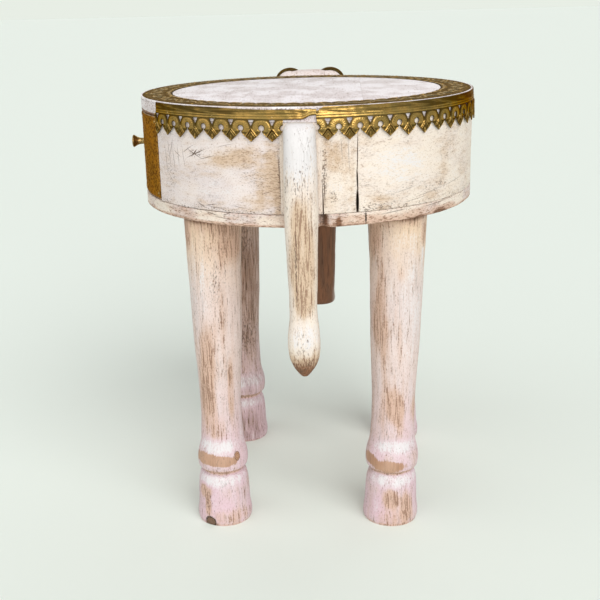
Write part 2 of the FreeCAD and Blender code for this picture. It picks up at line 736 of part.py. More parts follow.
def drawer_knob():
    """The trumpet-shaped brass knob."""
    rim_top = KNOB_LENGTH - KNOB_CROWN_HEIGHT
    knob = turned([
        (0, 0),
        (KNOB_BASE_RADIUS, 0),
        (KNOB_BASE_RADIUS, KNOB_BASE_HEIGHT),
        (KNOB_NECK_RADIUS, KNOB_BASE_HEIGHT * 2),
        (KNOB_NECK_RADIUS, KNOB_NECK_END),
        (KNOB_FLARE_RADIUS, KNOB_FLARE_HEIGHT),
        (KNOB_RADIUS, rim_top - KNOB_RIM_HEIGHT),
        (KNOB_RADIUS, rim_top),
        (KNOB_RADIUS / 2, KNOB_LENGTH - KNOB_CROWN_RISE),
        (0, KNOB_LENGTH),
    ], V(-DRUM_RADIUS, 0, KNOB_HEIGHT), LEFT)
    return knob.cut(knob_screw(FIT))


def drawer():
    """The drawer's box, its curved front with brass cladding, and its knob."""
    nails = drawer_nails(FIT)
    groove = drawer_panel(FIT)
    cladding_holes = cladding_tacks(FIT)
    front = curved_front(FRONT_INNER, FRONT_OUTER, FRONT_HALF, FRONT_BASE, FRONT_TOP)
    cladding = curved_front(FRONT_OUTER + FIT, DRUM_RADIUS, FRONT_HALF - CLADDING_MARGIN,
                            FRONT_BASE + CLADDING_MARGIN, FRONT_TOP - CLADDING_MARGIN)
    pieces = {
        "drawer_front": bored(front, nails + cladding_holes + [groove, knob_screw(FIT)]),
        "drawer_front_brass": bored(cladding, cladding_holes + [knob_screw(FIT)]),
        "drawer_bottom": drawer_panel(),
        "drawer_knob": drawer_knob(),
        "knob_screw": knob_screw(),
        "drawer_nails": Part.makeCompound(drawer_nails()),
        "drawer_brass_tacks": Part.makeCompound(cladding_tacks()),
    }
    rounded = disc(FRONT_INNER - FIT, SIDE_BASE, SIDE_TOP)
    for place, side in (("rear", -1), ("front", 1)):
        y_range = (SIDE_INNER, SIDE_OUTER) if side > 0 else (-SIDE_OUTER, -SIDE_INNER)
        board = block((-DRUM_RADIUS, DRAWER_END), y_range, (SIDE_BASE, SIDE_TOP)).common(rounded)
        pieces["drawer_side_" + place] = bored(board, nails + [groove])
    back = block((DRAWER_END - BACK_THICKNESS, DRAWER_END), (FIT - SIDE_INNER, SIDE_INNER - FIT),
                 (PANEL_TOP + FIT, SIDE_TOP))
    pieces["drawer_back"] = bored(back, nails)
    return pieces


# Brass

def brass_ring():
    """The flat ring let into the top, with a scalloped inner edge."""
    step = 360 / RING_SCALLOPS
    edge = RING_INNER + SCALLOP_DEPTH
    base = RING_FLOOR - OVERRUN
    scallops = []
    for count in range(RING_SCALLOPS):
        start = count * step
        scallops.append(Part.Arc(on_drum(edge, start, base),
                                 on_drum(RING_INNER, start + step / 2, base),
                                 on_drum(edge, start + step, base)).toShape())
    inside = Part.Face(Part.Wire(scallops)).extrude(V(0, 0, BRASS_THICKNESS + 2 * OVERRUN))
    return bored(disc(RING_OUTER, RING_FLOOR, TABLE_HEIGHT), [inside] + ring_tacks(FIT))


def radial_cutter(angle, edges):
    """A cutter through the border from an outline in the plane that faces an angle."""
    cutter = Part.Face(Part.Wire(edges)).extrude(V(0, -2 * OVERRUN, 0))
    cutter.translate(V(0, OVERRUN - DRUM_RADIUS, 0))
    cutter.rotate(V(0, 0, 0), UP, angle)
    return cutter


def notch_cutter(angle):
    """The three-cornered notch over the middle of a leaf, under the strip."""
    corners = [
        V(-SLIT_WIDTH / 2, 0, STRIP_BASE),
        V(SLIT_WIDTH / 2, 0, STRIP_BASE),
        V(0, 0, STRIP_BASE - SLIT_DEPTH),
    ]
    return radial_cutter(angle, Part.makePolygon(corners + corners[:1]).Edges)


def gap_cutter(angle):
    """The keyhole between two leaves: a round hole that opens down to both leaves' tips."""
    half = LEAF_WIDTH / 2 - LEAF_TIP_BLUNT
    hole = STRIP_BASE - LEAF_HOLE_DROP
    throat = hole - math.sqrt(LEAF_HOLE_RADIUS ** 2 - LEAF_THROAT ** 2 / 4)
    low = LEAF_TIP - OVERRUN
    left_tip, right_tip = V(-half, 0, LEAF_TIP), V(half, 0, LEAF_TIP)
    left_neck, right_neck = V(-LEAF_THROAT / 2, 0, throat), V(LEAF_THROAT / 2, 0, throat)
    left_edge = (left_tip + left_neck) / 2 + V(LEAF_BULGE, 0, -LEAF_BULGE)
    right_edge = (right_tip + right_neck) / 2 + V(-LEAF_BULGE, 0, -LEAF_BULGE)
    left_foot, right_foot = V(-half, 0, low), V(half, 0, low)
    return radial_cutter(angle, [
        Part.makeLine(left_foot, left_tip),
        Part.Arc(left_tip, left_edge, left_neck).toShape(),
        Part.Arc(left_neck, V(0, 0, hole + LEAF_HOLE_RADIUS), right_neck).toShape(),
        Part.Arc(right_neck, right_edge, right_tip).toShape(),
        Part.makeLine(right_tip, right_foot),
        Part.makeLine(right_foot, left_foot),
    ])


def end_trims(start, end, leaves):
    """Cutters for slivers of leaf too narrow to hang on beside a border's last keyholes."""
    web = face_angle(LEAF_HOLE_RADIUS + BRASS_THICKNESS)
    first_gap = leaves[0] - LEAF_PITCH / 2
    last_gap = leaves[-1] + LEAF_PITCH / 2
    spans = []
    if 0 < first_gap - start < web:
        spans.append((start - web, first_gap))
    if 0 < end - last_gap < web:
        spans.append((last_gap, end + web))
    return [ring_sector(DRUM_RADIUS - OVERRUN, DRUM_RADIUS + OVERRUN, LEAF_TIP - OVERRUN, STRIP_BASE, *span)
            for span in spans]


def leaf_bands():
    """The pierced leaf border round the drum's upper edge, in three lengths."""
    pieces = {}
    gap = face_angle(TAIL_LEAF_GAP / 2)
    tacks = band_tacks(FIT)
    bare = ring_sector(DRUM_RADIUS - OVERRUN, DRUM_RADIUS + OVERRUN, LEAF_TIP - OVERRUN, STRIP_BASE,
                       -gap, gap)
    for name, start, end, leaves in band_angles():
        band = ring_sector(BAND_INNER, BAND_OUTER, LEAF_TIP, STRIP_TOP, start, end)
        notches = [notch_cutter(angle) for angle in leaves]
        gaps = [gap_cutter(angle - LEAF_PITCH / 2) for angle in leaves + [leaves[-1] + LEAF_PITCH]]
        trims = end_trims(start, end, leaves)
        pieces[name] = bored(band, [bare]).cut(notches + gaps + trims + tacks)
    pieces["band_tacks"] = Part.makeCompound(band_tacks())
    return pieces


# Tail and head

def tail(bores):
    """The carved tail, seated on the drum's face and hanging below it."""
    form = carved(TAIL_SECTIONS)
    form.rotate(V(0, 0, 0), UP, 180)
    return bored(form.cut(disc(DRUM_RADIUS + FIT, DRUM_BASE - OVERRUN, TABLE_HEIGHT)), bores)


def head_aside(drop):
    """How far the leaning head stands aside at a drop."""
    lowest = HEAD_SECTIONS[0][0]
    highest = HEAD_SECTIONS[-1][0]
    return HEAD_LEAN * (lowest - drop) / (lowest - highest)


def dome_centre(side):
    """The middle of one of the forehead's two low domes."""
    return V(side * DOME_OFFSET + head_aside(DOME_DROP), DRUM_RADIUS + DOME_OUT, TABLE_HEIGHT - DOME_DROP)


def dome(side, grow=0.0):
    """One of the forehead's domes as a whole egg shape."""
    matrix = FreeCAD.Matrix()
    matrix.scale(*[radius + grow for radius in DOME_RADII])
    matrix.move(dome_centre(side))
    return Part.makeSphere(1).transformGeometry(matrix)


def eye_place(side):
    """Where an eye stands on the head, and the level direction away from the head there."""
    half, back, front = section_at(HEAD_SECTIONS, EYE_DROP)
    turn = math.radians(side * EYE_ANGLE)
    deep = (front - back) / 2
    point = V(head_aside(EYE_DROP) + half * math.sin(turn),
              DRUM_RADIUS + (front + back) / 2 + deep * math.cos(turn), TABLE_HEIGHT - EYE_DROP)
    away = V(math.sin(turn) / half, math.cos(turn) / deep, 0)
    return point, away.normalize()


def eyes(grow=0.0):
    """Two domed studs, each on a peg."""
    studs = []
    for side in (-1, 1):
        point, away = eye_place(side)
        studs.append(turned([
            (0, -EYE_HEIGHT),
            (EYE_CROWN_RADIUS, EYE_CROWN_DROP - EYE_HEIGHT),
            (EYE_RADIUS + grow, 0),
            (EYE_PEG_RADIUS + grow, 0),
            (EYE_PEG_RADIUS + grow, EYE_PEG_LENGTH + grow),
            (0, EYE_PEG_LENGTH + grow),
        ], point + away * FIT, -away))
    return studs


def cap_tacks(grow=0.0):
    """Tacks along the front of the forehead's brass caps."""
    tacks = []
    rise = math.radians(CAP_TACK_RISE)
    for side in (-1, 1):
        for angle in CAP_TACK_ANGLES:
            turn = math.radians(angle)
            ray = V(math.sin(turn) * math.cos(rise), math.cos(turn) * math.cos(rise), math.sin(rise))
            radii = [radius + FIT + BRASS_THICKNESS for radius in DOME_RADII]
            point = dome_centre(side) + V(*[length * part for length, part in zip(radii, ray)])
            away = V(*[part / length for length, part in zip(radii, ray)]).normalize()
            tacks.append(tack(point, -away, grow))
    return tacks


def forehead_brass(trunk, bores):
    """A thin brass cap over the front of each dome of the forehead."""
    caps = []
    reach = DRUM_RADIUS + DOME_OUT + DOME_RADII[1] + OVERRUN
    wide = DOME_OFFSET + DOME_RADII[0] + OVERRUN
    middle = head_aside(DOME_DROP)
    for side in (-1, 1):
        ends = sorted((middle + side * FIT, middle + side * wide))
        front = block(ends, (DRUM_RADIUS + CAP_BACK, reach),
                      (TABLE_HEIGHT - CAP_DROP, TABLE_HEIGHT + DOME_RADII[2]))
        shell = dome(side, FIT + BRASS_THICKNESS).cut(dome(side, FIT))
        cap = shell.common(front).cut([trunk, dome(-side, FIT)])
        caps.append(bored(cap, bores))
    return Part.makeCompound([solid for cap in caps for solid in cap.Solids])


def tusk(side, grow=0.0):
    """A tusk that curves out and up from beside the trunk."""
    root, bend, tip = (
        V(side * out, DRUM_RADIUS + forward, TABLE_HEIGHT - drop)
        for out, forward, drop in (TUSK_ROOT, TUSK_BEND, TUSK_TIP)
    )
    wires = []
    for step in range(TUSK_STEPS):
        t = step / (TUSK_STEPS - 1)
        centre = root * (1 - t) ** 2 + bend * 2 * t * (1 - t) + tip * t ** 2
        along = (bend - root) * (1 - t) + (tip - bend) * t
        radius = TUSK_ROOT_RADIUS + (TUSK_TIP_RADIUS - TUSK_ROOT_RADIUS) * t + grow
        circle = Part.makeCircle(radius)
        circle.Placement = FreeCAD.Placement(centre, FreeCAD.Rotation(UP, along))
        wires.append(Part.Wire(circle))
    return Part.makeLoft(wires, True)


def ear(side, bores):
    """A fan-shaped ear that lies against the drum beside the head."""
    angle = 180 + side * EAR_ANGLE

    def spot(place):
        return V(side * place[0], 0, EAR_TOP - place[1])

    start = EAR_START
    edges = []
    for middle, end in EAR_ARCS:
        edges.append(Part.Arc(spot(start), spot(middle), spot(end)).toShape())
        start = end
    inner = DRUM_RADIUS + EAR_GAP
    outline = Part.Face(Part.Wire(edges)).extrude(V(0, -inner, 0))
    outline.translate(V(0, -inner / 2, 0))
    outline.rotate(V(0, 0, 0), UP, angle)
    drops = [place[1] for arc in EAR_ARCS for place in arc]
    shell = disc(inner + EAR_THICKNESS, EAR_TOP - max(drops), EAR_TOP)
    shell = shell.cut(disc(inner, EAR_TOP - max(drops), EAR_TOP))
    return bored(outline.common(shell), bores)


def head():
    """The carved head with its trunk, and the pieces fastened to it."""
    seat = disc(DRUM_RADIUS + FIT, DRUM_BASE - OVERRUN, TABLE_HEIGHT + DOME_RADII[2])
    form = carved(HEAD_SECTIONS, 0.0, HEAD_LEAN).fuse([dome(-1), dome(1)]).cut(seat)
    nails = ear_nails(FIT)
    tacks = cap_tacks(FIT)
    sockets = [tusk(-1, FIT), tusk(1, FIT)]
    return {
        "head": bored(form, head_screws(FIT) + eyes(FIT) + tacks + sockets),
        "head_screws": Part.makeCompound(head_screws()),
        "eyes": Part.makeCompound(eyes()),
        "forehead_brass": forehead_brass(carved(HEAD_SECTIONS, FIT, HEAD_LEAN), tacks),
        "forehead_tacks": Part.makeCompound(cap_tacks()),
        "ear_left": ear(1, nails),
        "ear_right": ear(-1, nails),
        "ear_nails": Part.makeCompound(ear_nails()),
        "tusk_left": tusk(-1),
        "tusk_right": tusk(1),
    }


def table():
    """Every piece of the table by name, about the drum's axis."""
    wall_bores = (wall_dowels(FIT) + top_dowels(FIT) + bottom_screws(FIT) + tail_screws(FIT)
                  + head_screws(FIT) + ear_nails(FIT))
    top_bores = top_dowels(FIT) + kicker_screws(FIT) + ring_tacks(FIT) + band_tacks(FIT)
    pieces = top_planks(top_bores)
    pieces["bottom_board"] = bottom_board(bottom_screws(FIT))
    pieces.update(walls(wall_bores))
    pieces["wall_dowels"] = Part.makeCompound(wall_dowels())
    pieces["top_dowels"] = Part.makeCompound(top_dowels())
    pieces["bottom_screws"] = Part.makeCompound(bottom_screws())
    pieces.update(drawer_path(kicker_screws(FIT)))
    pieces["kicker_screws"] = Part.makeCompound(kicker_screws())
    pieces.update(legs())
    pieces.update(drawer())
    pieces["top_brass_ring"] = brass_ring()
    pieces["ring_tacks"] = Part.makeCompound(ring_tacks())
    pieces.update(leaf_bands())
    pieces["tail"] = tail(tail_screws(FIT))
    pieces["tail_screws"] = Part.makeCompound(tail_screws())
    pieces.update(head())
    return pieces


os.makedirs("parts", exist_ok=True)
for piece_name, shape in table().items():
    shape.translate(-FOOTPRINT_MIDDLE)
    shape.exportStep("parts/" + piece_name + ".step")
    print(piece_name, "solids", len(shape.Solids), "volume", round(shape.Volume, 1), shape.isValid())
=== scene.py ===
import json
import math
import random

import bpy
import numpy as np
from bpy.props import FloatProperty, FloatVectorProperty, PointerProperty
from mathutils import Matrix, Quaternion, Vector


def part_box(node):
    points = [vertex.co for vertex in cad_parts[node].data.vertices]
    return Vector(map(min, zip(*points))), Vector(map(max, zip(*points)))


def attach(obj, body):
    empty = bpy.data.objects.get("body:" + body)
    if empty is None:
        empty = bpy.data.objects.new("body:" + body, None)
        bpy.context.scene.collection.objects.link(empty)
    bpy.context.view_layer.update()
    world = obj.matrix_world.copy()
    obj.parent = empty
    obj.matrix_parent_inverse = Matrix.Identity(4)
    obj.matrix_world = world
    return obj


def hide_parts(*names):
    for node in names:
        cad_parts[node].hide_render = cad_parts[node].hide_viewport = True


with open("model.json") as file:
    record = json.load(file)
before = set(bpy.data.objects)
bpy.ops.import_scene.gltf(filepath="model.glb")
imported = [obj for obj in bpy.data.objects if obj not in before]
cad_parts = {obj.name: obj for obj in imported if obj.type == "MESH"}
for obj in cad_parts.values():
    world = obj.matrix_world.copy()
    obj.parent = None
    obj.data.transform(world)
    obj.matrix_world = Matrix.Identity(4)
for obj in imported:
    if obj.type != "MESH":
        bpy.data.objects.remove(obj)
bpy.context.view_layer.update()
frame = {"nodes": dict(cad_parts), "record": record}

# A round whitewashed table carved as an elephant, with a brass leaf border and a brass-faced drawer.
# Sizes are in metres, but the tables of marks and sections are in millimetres. Angles are in degrees
# about the drum's axis, from the tail (-Y) towards +X.

bl_info = {
    "name": "Elephant Table",
    "version": (1, 0, 0),
    "blender": (4, 5, 0),
    "location": "View3D > Sidebar > Table",
    "description": "Models and finishes a carved elephant table round its frame",
    "category": "Object",
}

# What the frame says
BOARD_LOW, BOARD_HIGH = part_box("bottom_board")
AXIS = ((BOARD_LOW + BOARD_HIGH) / 2).to_2d()
DRUM_RADIUS = (BOARD_HIGH.x - BOARD_LOW.x) / 2
DRUM_BASE = BOARD_LOW.z
WALL_BASE = BOARD_HIGH.z
TOP_BASE, TABLE_TOP = (corner.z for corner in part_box("top_plank_middle"))
PLANK_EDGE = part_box("top_plank_middle")[1].x - AXIS.x
STRIP_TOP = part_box("leaf_band_right")[1].z
FRONT_LOW, FRONT_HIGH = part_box("drawer_front_brass")
KNOB_LOW, KNOB_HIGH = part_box("drawer_knob")
FEET = {m["name"]: Vector(m["pos_m"]) for m in frame["record"]["mounts"] if m["name"].startswith("foot")}

MM = 1000                          # millimetres in a metre
MERGE = 2e-6                       # points this close are one
FIT = 0.0002                       # clearance between neighbours
SMOOTH_ANGLE = math.radians(38)    # sharper edges stay sharp
SOFT = 0.5                         # usual softness of a patch's edge


def length(label, about, metres):
    return FloatProperty(name=label, description=about, default=metres, unit="LENGTH")


def tint(label, about, *shares):
    return FloatVectorProperty(name=label, description=about, default=shares, subtype="COLOR")


def level_of(label, about, value):
    return FloatProperty(name=label, description=about, default=value)


class TableSizes(bpy.types.PropertyGroup):
    """Sizes of the carved and embossed detail."""

    wall_thickness: length("Wall", "Thickness of the drum's wall", 0.022)
    edge_round: length("Edge", "Rounding of the worn wooden edges", 0.0011)
    strip_height: length("Strip", "Height of the plain strip over the leaves", 0.011)
    leaf_width: length("Leaf width", "Width of one leaf of the border", 0.0222)
    leaf_drop: length("Leaf drop", "How far a leaf hangs below the strip", 0.022)
    leaf_relief: length("Leaf relief", "How far the leaves' lobes stand out", 0.0013)
    brass_thickness: length("Brass", "Thickness of the brass sheet", 0.0008)
    ring_width: length("Ring width", "Width of the brass ring on the top", 0.035)
    ring_relief: length("Ring relief", "Height of the ring's embossing", 0.0010)
    crack_width: length("Crack", "Width of the open crack beside the tail", 0.0022)
    chip_depth: length("Chip", "Depth of the chip out of the bottom board", 0.009)


class PaintColours(bpy.types.PropertyGroup):
    """Colours of the worn whitewash and of the wood under it."""

    cream: tint("Cream", "Whitewash of the drum", 0.80, 0.70, 0.605)
    # Shell is a little darker and cooler than cream: on the drum's left side it is partly painted shade,
    # away from the key light on the right; on the head it is the head's own whitewash
    shell: tint("Shell", "Whitewash of the drum's left side", 0.765, 0.675, 0.64)
    pearl: tint("Pearl", "Whitewash of the top", 0.89, 0.84, 0.855)
    lilac: tint("Lilac", "Cool, thin whitewash", 0.70, 0.62, 0.615)
    blush: tint("Blush", "Whitewash of the legs", 0.73, 0.595, 0.55)
    peach: tint("Peach", "Yellowed whitewash of the legs' tops", 0.74, 0.56, 0.39)
    rose: tint("Rose", "Pinkish whitewash of the feet", 0.68, 0.497, 0.548)
    white: tint("White", "Thick, fresh whitewash", 0.735, 0.71, 0.715)
    straw: tint("Straw", "Thin paint on the drum and tail", 0.60, 0.43, 0.285)
    tan: tint("Tan", "Wood where the paint is thin", 0.60, 0.395, 0.29)
    amber: tint("Amber", "Smooth bare wood", 0.44, 0.252, 0.158)
    brown: tint("Brown", "Wood where the paint is gone", 0.25, 0.138, 0.085)
    # Umber is dark wood; where stained patches lie on sides in shade, under the drum and behind the trunk,
    # it is painted shade
    umber: tint("Umber", "Dark wood of the sides that stay unseen", 0.235, 0.105, 0.052)
    grime: tint("Grime", "Specks and scratches", 0.115, 0.072, 0.048)
    # Pitch is near black: painted shade in the chip and the board's split, and the dark of knots' rims and
    # of the deepest specks, scratches and cracks
    pitch: tint("Pitch", "Depth of open cracks", 0.028, 0.018, 0.011)


class BrassColours(bpy.types.PropertyGroup):
    """Colours of the brass sheet and fittings."""

    border: tint("Border", "Leaf border", 0.42, 0.252, 0.074)
    ring: tint("Ring", "Ring on the top", 0.56, 0.50, 0.405)
    cladding: tint("Cladding", "Drawer front", 0.44, 0.215, 0.052)
    fitting: tint("Fitting", "Knob, tacks and eyes", 0.42, 0.27, 0.11)
    cap: tint("Cap", "Dark brass of the forehead caps", 0.12, 0.105, 0.055)
    tarnish: tint("Tarnish", "Dirt in the hollows", 0.055, 0.034, 0.009)
    soot: tint("Soot", "Dirt in the ring's hollows", 0.047, 0.040, 0.021)
    patina: tint("Patina", "Dull parts of the drawer front", 0.13, 0.058, 0.014)


class InnerColours(bpy.types.PropertyGroup):
    """Colours of the unpainted wood, the tusks and the screws."""

    rail: tint("Rail", "Early wood of rails, blocks and dowels", 0.42, 0.25, 0.12)
    rail_dark: tint("Rail dark", "Late wood of rails, blocks and dowels", 0.20, 0.10, 0.045)
    box: tint("Box", "Early wood of the drawer box", 0.52, 0.34, 0.18)
    box_dark: tint("Box dark", "Late wood of the drawer box", 0.28, 0.16, 0.08)
    tusk: tint("Tusk", "Pale wood of the tusks", 0.83, 0.76, 0.62)
    tusk_aged: tint("Tusk aged", "Yellowed wood of the tusks", 0.66, 0.52, 0.35)
    tusk_line: tint("Tusk line", "Dark grain of the tusks", 0.28, 0.17, 0.09)
    steel: tint("Steel", "Screws and nails", 0.42, 0.41, 0.40)
    rust: tint("Rust", "Rust on screws and nails", 0.13, 0.07, 0.045)


class StageSettings(bpy.types.PropertyGroup):
    """Backdrop, light and camera."""

    backdrop: tint("Backdrop", "Pale green-grey backdrop", 0.807, 0.855, 0.783)
    floor: tint("Floor", "Floor, which looks like the backdrop when lit", 0.84, 0.900, 0.835)
    ambient: level_of("Ambient", "Light from all round", 0.27)
    key: level_of("Key", "Light from above on the right", 0.49)
    front: level_of("Front", "Level light from in front", 0.40)
    fill: level_of("Fill", "Light from above on the left", 0.27)
    back: level_of("Back", "Light from behind", 0.21)
    lens: level_of("Lens", "Focal length in millimetres", 60.0)


def sizes():
    return bpy.context.scene.table_sizes


def paints():
    return bpy.context.scene.table_paints


def brasses():
    return bpy.context.scene.table_brasses


def inners():
    return bpy.context.scene.table_inners


# Modelling by hand: selecting, wrapping a grid, closing and finishing a piece

def select_only(piece):
    if bpy.context.mode != "OBJECT":
        bpy.ops.object.mode_set(mode="OBJECT")
    bpy.ops.object.select_all(action="DESELECT")
    if piece is not None:
        piece.select_set(True)
        bpy.context.view_layer.objects.active = piece


def rows_of(piece, what):
    """The piece's points ("co") or their normals ("normal") as rows of x, y and z."""
    flat = np.empty(len(piece.data.vertices) * 3, np.float32)
    piece.data.vertices.foreach_get(what, flat)
    return flat.reshape(-1, 3).astype(float)


def put_points(piece, spots):
    """Moves the piece's points to new places."""
    piece.data.vertices.foreach_set("co", np.ascontiguousarray(spots, np.float32).ravel())
    piece.data.update()


def wrapped(name, across, along, place):
    """A grid whose points go where place says, from their shares across and along it."""
    select_only(None)
    bpy.ops.mesh.primitive_grid_add(x_subdivisions=across, y_subdivisions=along, size=2)
    piece = bpy.context.object
    piece.name = name
    shares = (rows_of(piece, "co") + 1) / 2
    put_points(piece, np.stack(place(shares[:, 0], shares[:, 1]), 1))
    return piece


def sealed(piece):
    """Merges the points that meet and turns the faces outwards."""
    select_only(piece)
    bpy.ops.object.mode_set(mode="EDIT")
    bpy.ops.mesh.select_all(action="SELECT")
    bpy.ops.mesh.remove_doubles(threshold=MERGE)
    bpy.ops.mesh.normals_make_consistent(inside=False)
    bpy.ops.object.mode_set(mode="OBJECT")
    return piece


def finished(piece, kind, **settings):
    """Adds a modifier with its settings and applies it."""
    select_only(piece)
    modifier = piece.modifiers.new(kind.title(), kind)
    for key, value in settings.items():
        setattr(modifier, key, value)
    bpy.ops.object.modifier_apply(modifier=modifier.name)
    return piece


def uneven(piece, *passes, kind="CLOUDS"):
    """Makes the surface uneven, as tools and wear leave it: each pass has a size and a depth."""
    for size, depth in passes:
        texture = bpy.data.textures.new(piece.name + "_uneven", kind)
        texture.noise_scale = size
        finished(piece, "DISPLACE", texture=texture, texture_coords="LOCAL", strength=depth, mid_level=0.5)
    return piece


def turned_out(piece, away=None):
    """Turns an open sheet so that its faces look the given way, or away from the drum's axis."""
    face = piece.data.polygons[0]
    away = Vector(away) if away else (face.center.to_2d() - AXIS).to_3d()
    if face.normal.dot(away) < 0:
        piece.data.flip_normals()
    return piece


def thickened(piece):
    """Gives an open sheet the brass's thickness, behind its face."""
    return finished(piece, "SOLIDIFY", thickness=sizes().brass_thickness, offset=-1.0)


def joined(pieces, name):
    """Several pieces as one."""
    select_only(pieces[0])
    for piece in pieces[1:]:
        piece.select_set(True)
    bpy.ops.object.join()
    pieces[0].name = name
    return pieces[0]


def kept(piece, body, slot, material, *nodes):
    """Gives a modelled piece its material, smooth shading and body, and hides the nodes it stands for. The
    slot is not used.
    """
    piece.data.materials.clear()
    piece.data.materials.append(material)
    select_only(piece)
    bpy.ops.object.shade_smooth_by_angle(angle=SMOOTH_ANGLE)
    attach(piece, body)
    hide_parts(*nodes)
    return piece


# Curves and places

def smooth_at(knots, values, where):
    """Values on a smooth curve through the ones at the knots."""
    knots = np.asarray(knots, float)
    values = np.asarray(values, float)
    slopes = np.gradient(values, knots, axis=0)
    index = np.clip(np.searchsorted(knots, where, side="right") - 1, 0, len(knots) - 2)
    gap = (knots[index + 1] - knots[index])[:, None]
    u = (where - knots[index])[:, None] / gap
    rise = 3 * u ** 2 - 2 * u ** 3
    ends = values[index] * (1 - rise) + values[index + 1] * rise
    return ends + gap * (slopes[index] * (u ** 3 - 2 * u ** 2 + u) + slopes[index + 1] * (u ** 3 - u ** 2))


def through(points, shares):
    """Points on a smooth curve through the given ones, at shares of its length."""
    points = np.asarray(points, float)
    along = np.concatenate(([0.0], np.cumsum(np.linalg.norm(np.diff(points, axis=0), axis=1))))
    return smooth_at(along, points, np.asarray(shares) * along[-1])


def bump(distance, width):
    """A soft bump, 1 in the middle and nearly 0 two widths away."""
    return np.exp(-(distance / width) ** 2)


def ramp(value, low, high):
    """0 below low, 1 above high and smooth between."""
    share = np.clip((value - low) / (high - low), 0, 1)
    return share * share * (3 - 2 * share)


def rounded_off(share, start, end, depth=1.0):
    """1 up to start, then falling along a quarter of an ellipse, to 0 at end where its depth is whole."""
    return np.sqrt(1 - depth * np.clip((share - start) / (end - start), 0, 1) ** 2)


def arc(distance):
    """The angle that a distance along the drum's face takes."""
    return math.degrees(distance / DRUM_RADIUS)


def on_drum(radius, angle, height):
    """Points at distances from the drum's axis, angles and heights."""
    turn = np.radians(angle)
    return AXIS.x + radius * np.sin(turn), AXIS.y - radius * np.cos(turn), height + 0 * turn


def spot(radius, angle, height):
    """One point about the drum's axis, as plain numbers."""
    return tuple(float(value) for value in on_drum(radius, np.float64(angle), height))


def with_grain(piece):
    """Stores where each point lies round the drum: along its face, out from its axis and up."""
    spots = rows_of(piece, "co")
    flat = spots[:, :2] - np.array(AXIS)
    angle = np.arctan2(flat[:, 0], -flat[:, 1])
    grain = np.stack((angle * DRUM_RADIUS, np.hypot(*flat.T), spots[:, 2]), 1)
    layer = piece.data.attributes.new("grain", "FLOAT_VECTOR", "POINT")
    layer.data.foreach_set("vector", grain.astype(np.float32).ravel())
    return piece


def with_relief(piece, height):
    """Stores how far each point of an embossed piece stands out, from 0 to 1."""
    layer = piece.data.attributes.new("relief", "FLOAT", "POINT")
    layer.data.foreach_set("value", np.clip(height, 0, 1).astype(np.float32))
    return piece


def off_drum(piece):
    """Pushes a carved piece's back out to the drum's face."""
    spots = rows_of(piece, "co")
    flat = spots[:, :2] - np.array(AXIS)
    reach = np.linalg.norm(flat, axis=1)
    face = DRUM_RADIUS + FIT
    inside = (reach < face) & (spots[:, 2] > DRUM_BASE) & (spots[:, 2] < TABLE_TOP)
    flat[inside] *= (face / reach[inside])[:, None]
    spots[:, :2] = flat + np.array(AXIS)
    put_points(piece, spots)
    return piece


# Materials: a number on a surface, and a node tree with one method that adds its nodes

class Tone:
    """A number that changes over a surface, with the arithmetic of plain numbers."""

    def __init__(self, nodes, socket):
        self.nodes = nodes
        self.socket = socket

    def maths(self, operation, first, second=0.0):
        return self.nodes.node("ShaderNodeMath", {"operation": operation}, {0: first, 1: second})

    def __add__(self, other):
        return self.maths("ADD", self, other)

    def __radd__(self, other):
        return self.maths("ADD", other, self)

    def __sub__(self, other):
        return self.maths("SUBTRACT", self, other)

    def __rsub__(self, other):
        return self.maths("SUBTRACT", other, self)

    def __mul__(self, other):
        return self.maths("MULTIPLY", self, other)

    def __rmul__(self, other):
        return self.maths("MULTIPLY", other, self)

    def __abs__(self):
        return self.maths("ABSOLUTE", self)

    def top(self, other):
        return self.maths("MAXIMUM", self, other)

    def wave(self):
        return self.maths("SINE", self)

    def between(self, low, high):
        """0 at low, 1 at high and smooth between."""
        return self.nodes.node("ShaderNodeMapRange", {"interpolation_type": "SMOOTHSTEP"},
                               {"Value": self, "From Min": low, "From Max": high})


class Nodes:
    """A node tree in the making."""

    def __init__(self, tree):
        self.tree = tree

    def node(self, kind, settings=None, inputs=None, output=0):
        """Adds one node: its settings first, then the values or links of its sockets."""
        made = self.tree.nodes.new(kind)
        for key, value in (settings or {}).items():
            setattr(made, key, value)
        for key, value in (inputs or {}).items():
            if isinstance(value, Tone):
                self.tree.links.new(value.socket, made.inputs[key])
            else:
                made.inputs[key].default_value = value
        return Tone(self, made.outputs[output])


